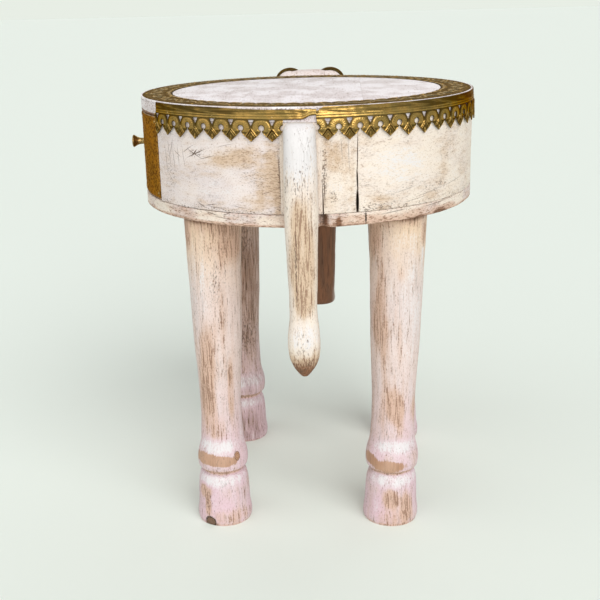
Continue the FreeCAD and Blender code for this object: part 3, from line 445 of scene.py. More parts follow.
class Finish(Nodes):
    """A material in the making. Patches on it have a middle, radii, an amount and a softness."""

    # Where a patch has faded by half, as a share of its radii
    HALF_GONE = 0.7

    def __init__(self, name, **fixed):
        self.material = bpy.data.materials.new(name)
        self.material.use_nodes = True
        super().__init__(self.material.node_tree)
        self.shader = self.tree.nodes["Principled BSDF"]
        for key, value in fixed.items():
            self.shader.inputs[key.replace("_", " ")].default_value = value
        self.here = self.node("ShaderNodeTexCoord", output="Object")

    def feed(self, **tones):
        """Links tones to the shader's sockets."""
        for key, tone in tones.items():
            self.tree.links.new(tone.socket, self.shader.inputs[key.replace("_", " ")])

    def attribute(self, name, output):
        return self.node("ShaderNodeAttribute", {"attribute_name": name}, output=output)

    def height(self):
        return self.node("ShaderNodeSeparateXYZ", {}, {0: self.here}, 2)

    def noise(self, scale, detail, rough=0.5, shift=(0, 0, 0), place=None):
        """Noise with as many waves in a metre as the scale says, along each axis."""
        place = self.node("ShaderNodeMapping", {},
                          {"Vector": place or self.here, "Location": shift, "Scale": scale})
        return self.node("ShaderNodeTexNoise", {},
                         {"Vector": place, "Scale": 1.0, "Detail": detail, "Roughness": rough})

    def grain(self, axis, across, along, detail, shift, place=None):
        """Noise that is drawn out along one axis."""
        scale = [across, across, across]
        scale[axis] = along
        return self.noise(scale, detail, shift=shift, place=place)

    def mix(self, share, first, second):
        """One colour blended into another."""
        ends = {6: first, 7: second}
        ends = {key: end if isinstance(end, Tone) else (*end, 1.0) for key, end in ends.items()}
        return self.node("ShaderNodeMix", {"data_type": "RGBA"}, {0: share, **ends}, 2)

    def patch(self, centre, radii, turn=0.0, place=None):
        """Distance from a patch's middle, 1 at its edge, with the patch turned about Y."""
        place = self.node("ShaderNodeMapping", {"vector_type": "TEXTURE"},
                          {"Vector": place or self.here, "Location": centre,
                           "Rotation": (0, math.radians(turn), 0), "Scale": radii})
        return self.node("ShaderNodeVectorMath", {"operation": "LENGTH"}, {0: place}, "Value")

    def patches(self, spots):
        """How strongly one or more patches cover a place."""
        covers = []
        for centre, radii, amount, soft in spots:
            cover = self.patch(centre, radii).between(self.HALF_GONE + soft, self.HALF_GONE - soft)
            covers.append(cover * amount)
        return sum(covers[1:], covers[0])

    def bumped(self, height, strength, depth):
        normal = self.node("ShaderNodeBump", {},
                           {"Height": height, "Strength": strength, "Distance": depth})
        self.feed(Normal=normal)


# Grain of painted wood: waves in a metre across and along it, and detail
FINE_GRAIN = (720, 40, 4.0)
STREAKS = (190, 13, 3.0)
CLOUDS = (34, 20, 3.0)
GRIT = (760, 420, 3.0)
SPECKS = (760, 230, 2.0)
LONG_LINES = (240, 5, 2.0)


def whitewash(name, seed, coats, wear=0.0, cool=0.3, along="Z", marks=(), knots=(), soiled_and_shaded=(), stains_and_shade=(),
              scratches=(), loose=0.0, bare=(), worn=None, hairs=0.76):
    """Worn whitewash on wood whose grain runs along Y or Z, or ROUND the drum.

    Coats are the first colour and then colours that come in from one height to another. Cool is how
    much of the paint is lilac. Marks are patches: above 0 worn, below 0 painted thickly, and some of
    the worn ones on the legs are painted shade. Soiled patches gather specks, and some of them are
    painted shade beside the tail and in the board's split. Stained patches show dark wood, and many
    of them are painted shade on sides that face away from the light. Bare patches show smooth wood,
    and knots show as dark rings. Loose grain is shorter, worn is the colour that shows through thin
    paint, and hairs is how much the grain's dark lines show."""
    paint = paints()
    wash = Finish(name, Specular_IOR_Level=0.3)
    shift = (seed * 1.7, seed * 2.9, seed * 0.61)
    place = wash.attribute("grain", "Vector") if along == "ROUND" else wash.here
    axis = {"ROUND": 0, "Y": 1, "Z": 2}[along]

    def grained(across, run, detail):
        return wash.grain(axis, across, run + (across - run) * loose, detail, shift, place)

    fine = grained(*FINE_GRAIN)
    streak = grained(*STREAKS)
    cloud = grained(*CLOUDS)
    grit = grained(*GRIT)

    # Wear: thin paint, dark hairs along the grain, and paint that is still thick; on the legs some worn
    # marks are partly painted shade
    base = (streak - 0.5) * 0.9 + (cloud - 0.5) * 0.9 + wear
    if marks:
        base = base + wash.patches(marks)
    rough = (grit - 0.5) * 0.8
    thin = (base + rough * 0.5).between(-0.12, 0.62)
    hair = (base * 0.42 + (fine - 0.5) * 2.6 + rough).between(0.22, 0.56)
    thick = (base + (fine - 0.5) * 0.6 + rough).between(-0.10, -0.62)
    colour, *others = coats
    for other, start, end in others:
        colour = wash.mix(wash.height().between(start, end), colour, other)
    colour = wash.mix(cloud.between(0.40, 0.62) * cool, colour, paint.lilac)
    colour = wash.mix(thin * 0.85, colour, worn or paint.tan)
    colour = wash.mix(grit.between(0.50, 0.74) * 0.26, colour, paint.brown)
    colour = wash.mix(hair * hairs, colour, paint.brown)
    colour = wash.mix(thick * 0.9, colour, paint.white)

    # Wood that shows: stained dark, where many of the patches are painted shade, or smooth and bare
    if stains_and_shade:
        cover = wash.patches(stains_and_shade) + (fine - 0.5) * 0.8 + (streak - 0.5) * 0.5
        # Umber, grime and pitch: dark wood, and painted shade where the patch stands for shade
        aged = wash.mix(streak.between(0.42, 0.66) * 0.5, paint.umber, paint.grime)
        aged = wash.mix(fine.between(0.50, 0.66) * 0.5, aged, paint.pitch)
        colour = wash.mix(cover.between(0.0, 1.0), colour, aged)
    if bare:
        cover = wash.patches(bare) + (fine - 0.5) * 1.3 + (streak - 0.5) * 0.9
        wood = wash.mix(fine.between(0.42, 0.64) * 0.4, paint.amber, paint.brown)
        wood = wash.mix(cloud.between(0.40, 0.65) * 0.5, wood, paint.tan)
        colour = wash.mix(cover.between(0.30, 0.75), colour, wood)

    # Dirt and painted shade: specks, long fine lines and scratches in the grime colour; patches of soiling
    # add to them, and some of those are painted shade beside the tail and in the board's split
    dirt_and_shade = grained(*SPECKS) + cloud * 0.14
    if soiled_and_shaded:
        dirt_and_shade = dirt_and_shade + wash.patches(soiled_and_shaded)
    line = (1 - abs(grained(*LONG_LINES) - 0.5).between(0.002, 0.012)) * cloud.between(0.48, 0.60)
    dust_and_shade = (dirt_and_shade.between(0.71, 0.88) * 0.75).top(line * 0.45)
    for centre, radii, turn, amount in scratches:
        cut = wash.patch(centre, radii, turn, place).between(1.1, 0.3)
        dust_and_shade = dust_and_shade.top(cut * (grit + 0.35) * amount)
    colour = wash.mix(dust_and_shade, colour, paint.grime)
    colour = wash.mix(dirt_and_shade.between(1.0, 1.2).top(dust_and_shade.between(1.0, 1.4)), colour, paint.pitch)

    for centre, radii, burnt in knots:
        reach = wash.patch(centre, radii) + (grit - 0.5) * 0.6 + (streak - 0.5) * 0.4
        rings = (reach * 13.0 + fine * 3.0).wave().between(-0.6, 0.9)
        knot = wash.mix(rings * 0.7, paint.amber, paint.umber)
        knot = wash.mix((grit * 0.8 + 0.4) * burnt, knot, paint.grime)
        knot = wash.mix(reach.between(0.6, 0.95) * (0.45 + 0.5 * burnt), knot, paint.pitch)
        colour = wash.mix(reach.between(1.1, 0.9), colour, knot)
    wash.feed(Base_Color=colour, Roughness=0.62 + hair * 0.12 - thick * 0.10)
    wash.bumped(fine * 0.6 + grit * 0.4 - hair * 0.4 - dust_and_shade * 0.8, 0.45, 0.0008)
    return wash.material


def bare_wood(name, axis, seed, light, dark):
    """Plain old wood with its grain along one axis."""
    wood = Finish(name, Specular_IOR_Level=0.3)
    shift = (seed * 1.3, seed * 2.1, seed * 0.7)
    rings = wood.grain(axis, 120, 5, 4.0, shift)
    pores = wood.grain(axis, 900, 30, 2.0, shift)
    colour = wood.mix(rings.between(0.35, 0.66), light, dark)
    colour = wood.mix(pores.between(0.60, 0.75) * 0.5, colour, [0.4 * value for value in dark])
    wood.feed(Base_Color=colour, Roughness=0.62 + rings * 0.2)
    wood.bumped(rings * 0.4 - pores, 0.3, 0.0005)
    return wood.material


def old_brass(name, metal, rough, stain, blotches=0.3, relief=False, dents=0.25, grain=(600, 600, 900),
              tarnish=None, hollow=0.26):
    """Aged brass sheet, tarnished in blotches.

    With relief it is bright where it stands out, and dark where its relief is below hollow."""
    brass = Finish(name, Metallic=1.0, Specular_Tint=(0.52, 0.34, 0.16, 1.0))
    blotch = brass.noise((75, 75, 75), 5.0, 0.6)
    scuff = brass.noise(grain, 4.0, 0.6)
    edge = 0.62 - 0.30 * stain
    tarnish_and_shade = ((blotch - 0.5) * blotches + scuff).between(edge, edge + 0.22)
    if relief:
        # For the border the relief also carries painted shade away from its front, so its tarnish there is
        # partly painted shade
        raised = brass.attribute("relief", "Fac")
        worn = raised.between(0.60, 0.90)
        tarnish_and_shade = (tarnish_and_shade * 0.5 - worn).top(raised.between(hollow + 0.30, hollow) * 0.95)
    green = [metal[0] * 0.72, metal[1] * 0.82, metal[2] * 0.9]
    colour = brass.mix(blotch.between(0.40, 0.60) * 0.7, metal, green)
    colour = brass.mix(tarnish_and_shade * 0.92, colour, tarnish or brasses().tarnish)
    brass.feed(Base_Color=colour, Roughness=rough + tarnish_and_shade * 0.22 + scuff * 0.10)
    brass.bumped(scuff + blotch, dents, 0.0005)
    return brass.material


def steel(name):
    metal = Finish(name, Metallic=1.0)
    rust = metal.noise((420, 420, 420), 4.0, 0.6)
    colour = metal.mix(rust.between(0.50, 0.70), inners().steel, inners().rust)
    metal.feed(Base_Color=colour, Roughness=0.35 + rust * 0.4)
    return metal.material


def tusk_wood(name):
    wood = Finish(name, Specular_IOR_Level=0.4)
    grain = wood.noise((500, 60, 300), 3.0)
    cloud = wood.noise((60, 60, 60), 3.0)
    colour = wood.mix(cloud.between(0.40, 0.65), inners().tusk, inners().tusk_aged)
    colour = wood.mix(grain.between(0.62, 0.75) * 0.6, colour, inners().tusk_line)
    wood.feed(Base_Color=colour, Roughness=0.42 + grain * 0.2)
    wood.bumped(grain, 0.25, 0.0004)
    return wood.material


# Drum

def sector(name, section, angles_at, along):
    """A length of a ring with the given section of (radius, height) points, closed at both ends.

    angles_at gives the start and end angle at each height."""
    section = np.asarray(section)
    middle = section.mean(0)
    end_fill = (0.0, 0.90, 0.985, 1.0)
    ends = len(end_fill) - 1

    def place(s, t):
        index = np.rint(s * len(section)).astype(int) % len(section)
        row = np.rint(t * (along + 2 * ends)).astype(int)
        inward = np.minimum(row, along + 2 * ends - row)
        grow = np.choose(np.minimum(inward, ends), end_fill)[:, None]
        spots = middle + (section[index] - middle) * grow
        share = np.clip((row - ends) / along, 0, 1)
        start, end = angles_at(spots[:, 1])
        return on_drum(spots[:, 0], start + (end - start) * share, spots[:, 1])

    return sealed(wrapped(name, len(section), along + 2 * ends, place))


def rounded_box(inner, outer, low, high, edge, step):
    """The section of a wall: a rectangle of (radius, height) points with rounded corners."""
    corners = ((inner, low, 180), (outer, low, 270), (outer, high, 0), (inner, high, 90))
    runs = []
    for (radius, height, start), (far_radius, far_height, _) in zip(corners, corners[1:] + corners[:1]):
        centre = np.array((radius + edge * (1 if radius == inner else -1),
                           height + edge * (1 if height == low else -1)))
        turn = np.radians(start + np.linspace(0, 90, 4))
        runs.append(centre + edge * np.stack((np.cos(turn), np.sin(turn)), 1))
        run = abs(far_radius - radius) + abs(far_height - height) - 2 * edge
        count = max(1, round(run / step))
        towards = np.array((np.sign(far_radius - radius), np.sign(far_height - height)))
        runs.append(runs[-1][-1] + towards * (np.arange(1, count) / count * run)[:, None])
    return np.concatenate(runs)


# Half angles of the drawer's opening and the posts, and where the filler stave ends
OPENING = math.degrees(math.asin(0.110 / DRUM_RADIUS))
POST = arc(0.0215)
FILLER_END = POST + arc(0.038)
HEAD_POST = arc(0.027)
# Wall pieces: node, start angle and end angle
WALLS = (
    ("wall_rear_left", OPENING - 90, -POST),
    ("wall_tail_post", -POST, POST),
    ("wall_filler_stave", POST, FILLER_END),
    ("wall_rear_right", FILLER_END, 95.0),
    ("wall_front_right", 95.0, 180 - HEAD_POST),
    ("wall_head_post", 180 - HEAD_POST, 180 + HEAD_POST),
    ("wall_front_left", 180 + HEAD_POST, 270 - OPENING),
)
# Patches on the walls' faces: angle, height, half width, half height and amount
WALL_MARKS = {
    "wall_rear_left": (
        (-21, 449, 36, 14, 0.50), (-27, 441, 26, 8, 0.36), (-9.3, 436, 8, 40, 0.48),
        (-12.5, 425, 7, 34, 0.28), (-7.2, 420, 6, 45, 0.50), (-14.5, 402, 20, 14, 0.30),
        (-45, 470, 30, 20, -0.12), (-28, 412, 30, 14, -0.20),
    ),
    "wall_filler_stave": (
        (10.6, 446, 9, 18, 0.50), (8.2, 400, 9, 16, 0.34), (13.5, 440, 5, 34, 0.34),
        (15.6, 430, 4, 34, 0.30), (12, 415, 8, 12, -0.14), (8, 450, 6, 30, 0.30),
    ),
    "wall_rear_right": (
        (32, 430, 50, 30, -0.20), (52, 430, 10, 30, 0.20), (24, 400, 20, 10, 0.24), (45, 396, 40, 8, 0.22),
    ),
    "wall_front_right": ((120, 430, 20, 30, 0.40), (150, 420, 15, 30, 0.40)),
    "wall_front_left": ((212, 420, 20, 30, 0.40), (228, 440, 20, 20, 0.34)),
}
WALL_SOIL_AND_SHADE = {
    "wall_rear_left": (
        # The narrow tall patch beside the tail at -6.2 degrees is partly grime and partly the tail's
        # painted shadow
        (-35.6, 449, 12, 6, 0.12), (-48, 424, 12, 24, 0.12), (-6.2, 430, 4, 50, 0.20),
        (-33, 452, 20, 12, 0.08), (-15, 425, 20, 20, 0.07),
    ),
    "wall_filler_stave": ((9.6, 407, 6, 10, 0.20), (7, 430, 4, 40, 0.24), (16.9, 402, 4, 30, 0.10)),
    "wall_rear_right": ((21, 395, 20, 6, 0.12), (48, 408, 30, 4, 0.12), (38, 436, 90, 30, -0.07)),
}
# Scratches on the walls' faces: angle, height, half length, half width, tilt and amount
CRACK = ((17.3, 450, 30, 0.6, 91, 1.5), (17.2, 424, 14, 1.1, 88, 2.2), (17.2, 400, 16, 1.9, 90, 3.0))
WALL_SCRATCHES = {
    "wall_rear_left": (
        (-35.2, 449.5, 17, 0.7, -22, 1.2), (-36, 449, 12, 0.7, 24, 1.1), (-35.8, 450, 6, 1.0, -48, 1.3),
        (-31, 446, 14, 0.6, -14, 0.8), (-24, 460, 14, 0.5, -12, 0.5), (-41, 444, 14, 0.6, 80, 0.6),
        (-43.5, 444, 14, 0.6, 86, 0.7), (-46, 440, 16, 0.6, 84, 0.7), (-28, 393.5, 14, 0.7, 3, 0.8),
        (-20, 396, 12, 0.5, 8, 0.6), (-6.6, 433, 30, 0.6, 88, 0.9), (-48.5, 446, 16, 0.6, 82, 0.8),
        (-50.5, 438, 18, 0.6, 86, 0.8), (-39, 453, 10, 0.6, -30, 0.8), (-47, 453, 12, 0.7, -70, 0.9),
        (-44, 447, 9, 0.6, 30, 0.7), (-30, 396, 10, 0.7, -12, 0.9), (-34, 394.5, 8, 0.8, 25, 0.9),
    ),
    "wall_filler_stave": (
        (7, 415, 22, 0.7, 89, 1.2), *CRACK, (12.4, 456, 16, 0.4, 86, 0.6), (14.6, 448, 24, 0.4, 88, 0.6),
    ),
    "wall_rear_right": (
        *CRACK, (34, 408, 22, 0.6, -10, 0.5), (44, 401, 30, 0.6, -8, 0.6), (50, 435, 20, 0.4, 76, 0.4),
        (38, 396, 20, 0.5, -6, 0.6), (58, 406, 26, 0.6, -6, 0.5),
    ),
}


def face_patches(marks):
    """Patches on the drum's face, at least a little deep, however narrow."""
    patches = []
    for angle, height, wide, tall, amount in marks:
        radii = (wide / MM, max(wide / MM, 0.012), tall / MM)
        patches.append((spot(DRUM_RADIUS, angle, height / MM), radii, amount, SOFT))
    return patches


def face_scratches(cuts):
    """Scratches on the drum's face, placed along it instead of in space."""
    return [((math.radians(angle) * DRUM_RADIUS, DRUM_RADIUS, height / MM), (half / MM, 0.02, wide / MM),
             tilt, amount) for angle, height, half, wide, tilt, amount in cuts]


def all_round(height, half, amount, soft=SOFT):
    """A patch that goes all round the drum at one height."""
    return (AXIS.x, AXIS.y, height), (0.9, 0.9, half), amount, soft


# Specks along the seam between wall and bottom board
SEAM_SOIL = all_round(WALL_BASE, 0.008, 0.09)


class TABLE_OT_walls(bpy.types.Operator):
    """The drum's curved wall pieces, with worn edges and an open crack beside the tail"""

    bl_idname = "table.walls"
    bl_label = "Drum walls"

    # The crack beside the tail starts at one height and is fully open at another
    CRACK_TOP = 0.432
    CRACK_OPEN = 0.397

    def execute(self, context):
        size = sizes()
        inner = DRUM_RADIUS - size.wall_thickness
        section = rounded_box(inner, DRUM_RADIUS, WALL_BASE + FIT, TOP_BASE - FIT, size.edge_round, 0.0028)
        for seed, (node, start, end) in enumerate(WALLS, 3):
            filler = node == "wall_filler_stave"
            left = node == "wall_rear_left"
            crack = arc(size.crack_width) if filler else 0.0

            def angles_at(height):
                opening = crack * ramp(-height, -self.CRACK_TOP, -self.CRACK_OPEN)
                return start + 0.7 * opening, end - opening

            along = max(8, round((end - start) * 1.1))
            piece = sector(node.replace("wall", "stave"), section, angles_at, along)
            with_grain(uneven(piece, (0.05, 0.0007), (0.009, 0.00025)))
            # The rear left wall gets shell and more lilac: partly painted shade on the drum's left side
            wash = whitewash("whitewash_" + node, seed, [paints().shell if left else paints().cream],
                             cool=0.7 if left else 0.25, along="Z" if node.endswith("post") else "ROUND",
                             marks=face_patches(WALL_MARKS.get(node, ())),
                             soiled_and_shaded=[*face_patches(WALL_SOIL_AND_SHADE.get(node, ())), SEAM_SOIL],
                             scratches=face_scratches(WALL_SCRATCHES.get(node, ())),
                             loose=0.9 if filler else 0.25, worn=paints().straw, hairs=0.42)
            kept(piece, "table", "whitewashed_wood", wash, node)
        return {"FINISHED"}


class TABLE_OT_bottom(bpy.types.Operator):
    """The round bottom board, with a chip out of its rim beside the tail"""

    bl_idname = "table.bottom"
    bl_label = "Bottom board"

    AROUND = 480
    CHIP_ANGLE = 6.5
    SPLIT_ANGLE = 19.9
    SPLIT_DEPTH = 0.0016
    # Tables as for the walls
    MARKS = ((-3, 381, 30, 6, 0.25), (24, 381, 25, 6, 0.42), (-40, 384, 50, 4, 0.14),
             (52, 380, 30, 5, 0.42), (15, 381, 30, 8, 0.42), (36, 381, 30, 6, 0.42))
    # Dark wood in the chip, partly bare wood and partly painted shade in its recess, and along the lower
    # edge on the right, partly painted shade where the board turns under
    STAINS_AND_SHADE = ((6.6, 382, 6, 14, 1.5), (11.2, 380, 4, 8, 1.1), (50, 376.5, 16, 5.5, 0.9),
              (40, 375, 22, 3.5, 0.7), (28, 374.5, 20, 3, 0.6))
    # Near black in the split and the chip: painted shade in their depths
    SOIL_AND_SHADE = ((19.9, 382, 1.2, 8, 0.7), (6.4, 382, 4, 13, 0.66))
    SCRATCHES = ((-30, 386.5, 10, 0.8, 10, 1.0), (-24, 388, 8, 0.7, -20, 0.9), (-26, 383, 14, 0.7, 5, 0.7),
                 (30, 386, 22, 0.7, -4, 0.8), (48, 387, 26, 0.7, -3, 0.8))

    def execute(self, context):
        size = sizes()
        low = DRUM_BASE + FIT
        high = WALL_BASE - FIT
        edge = size.edge_round
        outline = [(radius, low) for radius in (0.0, 0.05, 0.10, 0.15, 0.178, DRUM_RADIUS - edge)]
        outline.append((DRUM_RADIUS, low + edge))
        outline += [(DRUM_RADIUS, low + (high - low) * step / 5) for step in range(1, 5)]
        outline.append((DRUM_RADIUS, high - edge))
        outline += [(radius, high) for radius in (DRUM_RADIUS - edge, 0.178, 0.10, 0.0)]
        outline = np.array(outline)

        def place(s, t):
            radius, height = outline[np.rint(t * (len(outline) - 1)).astype(int)].T
            angle = s * 360 - 180
            chip = size.chip_depth * bump(angle - self.CHIP_ANGLE, 1.0) ** 0.5 * ramp(radius, 0.15, 0.19)
            split = self.SPLIT_DEPTH * bump(angle - self.SPLIT_ANGLE, 0.25) * ramp(radius, 0.185, 0.195)
            return on_drum(radius - chip - split, angle, height)

        piece = sealed(wrapped("base_board", self.AROUND, len(outline) - 1, place))
        with_grain(uneven(piece, (0.03, 0.0007), (0.006, 0.0003)))
        wash = whitewash("whitewash_board", 12, [paints().cream], wear=0.12, cool=0.8, along="ROUND",
                         # The band of wear at the board's lower edge is partly wear and partly painted
                         # shade where it turns under
                         marks=[*face_patches(self.MARKS), all_round(DRUM_BASE, 0.0040, 0.8)],
                         soiled_and_shaded=[SEAM_SOIL, *face_patches(self.SOIL_AND_SHADE)], stains_and_shade=face_patches(self.STAINS_AND_SHADE),
                         scratches=face_scratches(self.SCRATCHES), loose=0.2)
        kept(piece, "table", "whitewashed_wood", wash, "bottom_board")
        return {"FINISHED"}


class TABLE_OT_top(bpy.types.Operator):
    """The three planks of the top, cut from one disc that is let in for the brass ring"""

    bl_idname = "table.top"
    bl_label = "Top planks"

    LIP = 0.0016
    CUTS = {"left": (None, -PLANK_EDGE), "middle": (-PLANK_EDGE, PLANK_EDGE), "right": (PLANK_EDGE, None)}
    # Patches on the top: x, y, half width, half length and amount
    MARKS = {
        "left": ((-78, 45, 45, 12, 0.40),),
        "middle": ((40, -55, 30, 35, 0.14), (5, -105, 35, 20, 0.18)),
        "right": ((100, 20, 30, 50, -0.06),),
    }

    def execute(self, context):
        worn_rim = all_round(TABLE_TOP - 0.008, 0.010, 0.58, 0.3)
        # Darker just above the brass strip
        above_strip_darker = all_round(STRIP_TOP - 0.0012, 0.0020, 0.20, 0.4)
        # Dark wood painted on the left plank's edge over the drawer: painted shade in the gap above the
        # drawer
        drawer_gap_shade = ((AXIS.x - DRUM_RADIUS, AXIS.y, TOP_BASE), (0.07, 0.22, 0.0036), 2.2, 0.3)
        for seed, (side, (start, end)) in enumerate(self.CUTS.items(), 21):
            piece = self.plank("plank_" + side, start, end, sizes())
            marks = [((x / MM, y / MM, TABLE_TOP), (wide / MM, long / MM, 0.01), amount, SOFT)
                     for x, y, wide, long, amount in self.MARKS[side]]
            wash = whitewash("whitewash_plank_" + side, seed, [paints().pearl], wear=-0.12, cool=0.8,
                             along="Y", marks=[*marks, worn_rim], soiled_and_shaded=[above_strip_darker],
                             stains_and_shade=[drawer_gap_shade] if side == "left" else (), loose=0.1,
                             worn=paints().lilac, hairs=0.5)
            kept(piece, "table", "whitewashed_wood", wash, "top_plank_" + side)
        return {"FINISHED"}

    def plank(self, name, start, end, size):
        """One plank between two cuts along Y."""
        select_only(None)
        middle = (TOP_BASE + TABLE_TOP) / 2 + FIT / 2
        bpy.ops.mesh.primitive_cylinder_add(vertices=256, radius=DRUM_RADIUS,
                                            depth=TABLE_TOP - TOP_BASE - FIT,
                                            location=(AXIS.x, AXIS.y, middle))
        piece = bpy.context.object
        piece.name = name
        bpy.ops.object.transform_apply(location=True, rotation=True, scale=True)
        bpy.ops.object.mode_set(mode="EDIT")
        bpy.ops.mesh.select_mode(type="FACE")
        self.pick(piece, 0.0, DRUM_RADIUS)
        bpy.ops.mesh.inset(thickness=self.LIP)
        bpy.ops.mesh.inset(thickness=size.ring_width + 2 * FIT)
        self.pick(piece, DRUM_RADIUS - self.LIP - size.ring_width, DRUM_RADIUS - self.LIP)
        bpy.ops.mesh.extrude_region_move(
            TRANSFORM_OT_translate={"value": (0, 0, -size.brass_thickness - FIT)})
        for cut, keep_far in ((start, True), (end, False)):
            if cut is None:
                continue
            bpy.ops.mesh.select_all(action="SELECT")
            bpy.ops.mesh.bisect(plane_co=(AXIS.x + cut, 0, 0), plane_no=(1, 0, 0), use_fill=True,
                                clear_inner=keep_far, clear_outer=not keep_far)
        bpy.ops.object.mode_set(mode="OBJECT")
        return finished(piece, "BEVEL", width=0.0007, segments=2, limit_method="ANGLE",
                        angle_limit=math.radians(50))

    def pick(self, piece, inner, outer):
        """Selects the upper faces whose middle lies between two distances from the axis, in edit mode."""
        bpy.ops.mesh.select_all(action="DESELECT")
        bpy.ops.object.mode_set(mode="OBJECT")
        for face in piece.data.polygons:
            reach = (face.center.to_2d() - AXIS).length
            face.select = face.normal.z > 0.9 and inner <= reach < outer
        bpy.ops.object.mode_set(mode="EDIT")


# Brass

class Leaf:
    """The outline and embossing of the border's leaves, as half widths and heights from the strip down."""

    NOTCH_WIDTH = 0.0064
    NOTCH_DEPTH = 0.0062
    HOLE_RADIUS = 0.0029
    HOLE_DROP = 0.0085
    THROAT = 0.0005
    SWELL = 0.0021
    # The arch over a hole: the middle of its band from the hole's centre, half its width and its spokes
    ARCH_REACH = 0.0055
    ARCH_HALF = 0.0036
    SPOKES = 22
    # The two slanting ridges of the tip: where they start, their slope and the second one's distance
    RIDGE_DROP = 0.0084
    RIDGE_SLOPE = 1.35
    RIDGE_SCALE = 1.68
    RIDGE_GAP = 0.0019

    def __init__(self, size):
        self.half = size.leaf_width / 2
        self.drop = size.leaf_drop
        self.relief = size.leaf_relief
        self.neck = self.HOLE_DROP + math.sqrt(self.HOLE_RADIUS ** 2 - self.THROAT ** 2)

    def rows(self):
        """Heights of the mesh rows, closer together round the hole."""
        over = np.linspace(0, self.HOLE_DROP - self.HOLE_RADIUS, 10)
        turn = np.linspace(-90, 78, 11)[1:]
        round_hole = self.HOLE_DROP + self.HOLE_RADIUS * np.sin(np.radians(turn))
        under = self.neck + (self.drop - self.neck) * np.linspace(0, 1, 20)
        return np.concatenate((over, round_hole, under))

    def inner(self, v):
        """Half width of the notch over the middle of the leaf."""
        share = np.clip(v / self.NOTCH_DEPTH, 0, 1)
        return self.NOTCH_WIDTH / 2 * (1 - share) ** 1.15 * (1 + 0.6 * share)

    def outer(self, v):
        """Half width of the leaf: whole over the hole, round beside it, then running to a point."""
        hole = np.sqrt(np.clip(self.HOLE_RADIUS ** 2 - (v - self.HOLE_DROP) ** 2, 0, None))
        share = np.clip((v - self.neck) / (self.drop - self.neck), 0, 1)
        swell = self.SWELL * np.sin(np.pi * share) * (1 - share)
        return np.where(v < self.neck, self.half - hole, (self.half - self.THROAT) * (1 - share) + swell)

    def height(self, u, v):
        """Embossing from 0 in the deepest lines to about 1: arches over the holes, and a ridged tip."""
        u = np.abs(u)
        hole = np.hypot(u - self.half, v - self.HOLE_DROP)
        band = np.clip(1 - ((hole - self.ARCH_REACH) / self.ARCH_HALF) ** 2, 0, None)
        band = band * (1 - ramp(v, 0.0105, 0.0125))
        spokes = np.sin(np.arctan2(v - self.HOLE_DROP, u - self.half) * self.SPOKES)
        arch = 0.30 + 0.42 * np.sqrt(band) + 0.12 * spokes * band
        slope = ((v - self.RIDGE_DROP) - u * self.RIDGE_SLOPE) / self.RIDGE_SCALE
        tip = ramp(v, 0.0080, 0.0095) * (1 - ramp(v, 0.0165, 0.0180))
        ridge = np.maximum(bump(slope, 0.0006), 0.8 * bump(slope - self.RIDGE_GAP, 0.0005)) * tip
        edge = np.clip(self.outer(v) - u, 0, None)
        rim = 0.80 * bump(edge - 0.0008, 0.0005) * ramp(v, self.neck + 0.001, self.neck + 0.003)
        vein = 0.70 * bump(u, 0.0005) * ramp(v, 0.0150, 0.0165)
        cuts = (
            0.6 * bump(u, 0.0006) * ramp(v, 0.0045, 0.0062) * (1 - ramp(v, 0.0085, 0.0095)),
            0.45 * bump(v, 0.0006),
            0.45 * bump(slope - 0.0010, 0.0004) * tip,
            0.5 * bump(hole - self.HOLE_RADIUS, 0.0006),
        )
        return np.clip(np.maximum.reduce((arch, ridge, rim, vein)) - np.maximum.reduce(cuts), 0, 1)


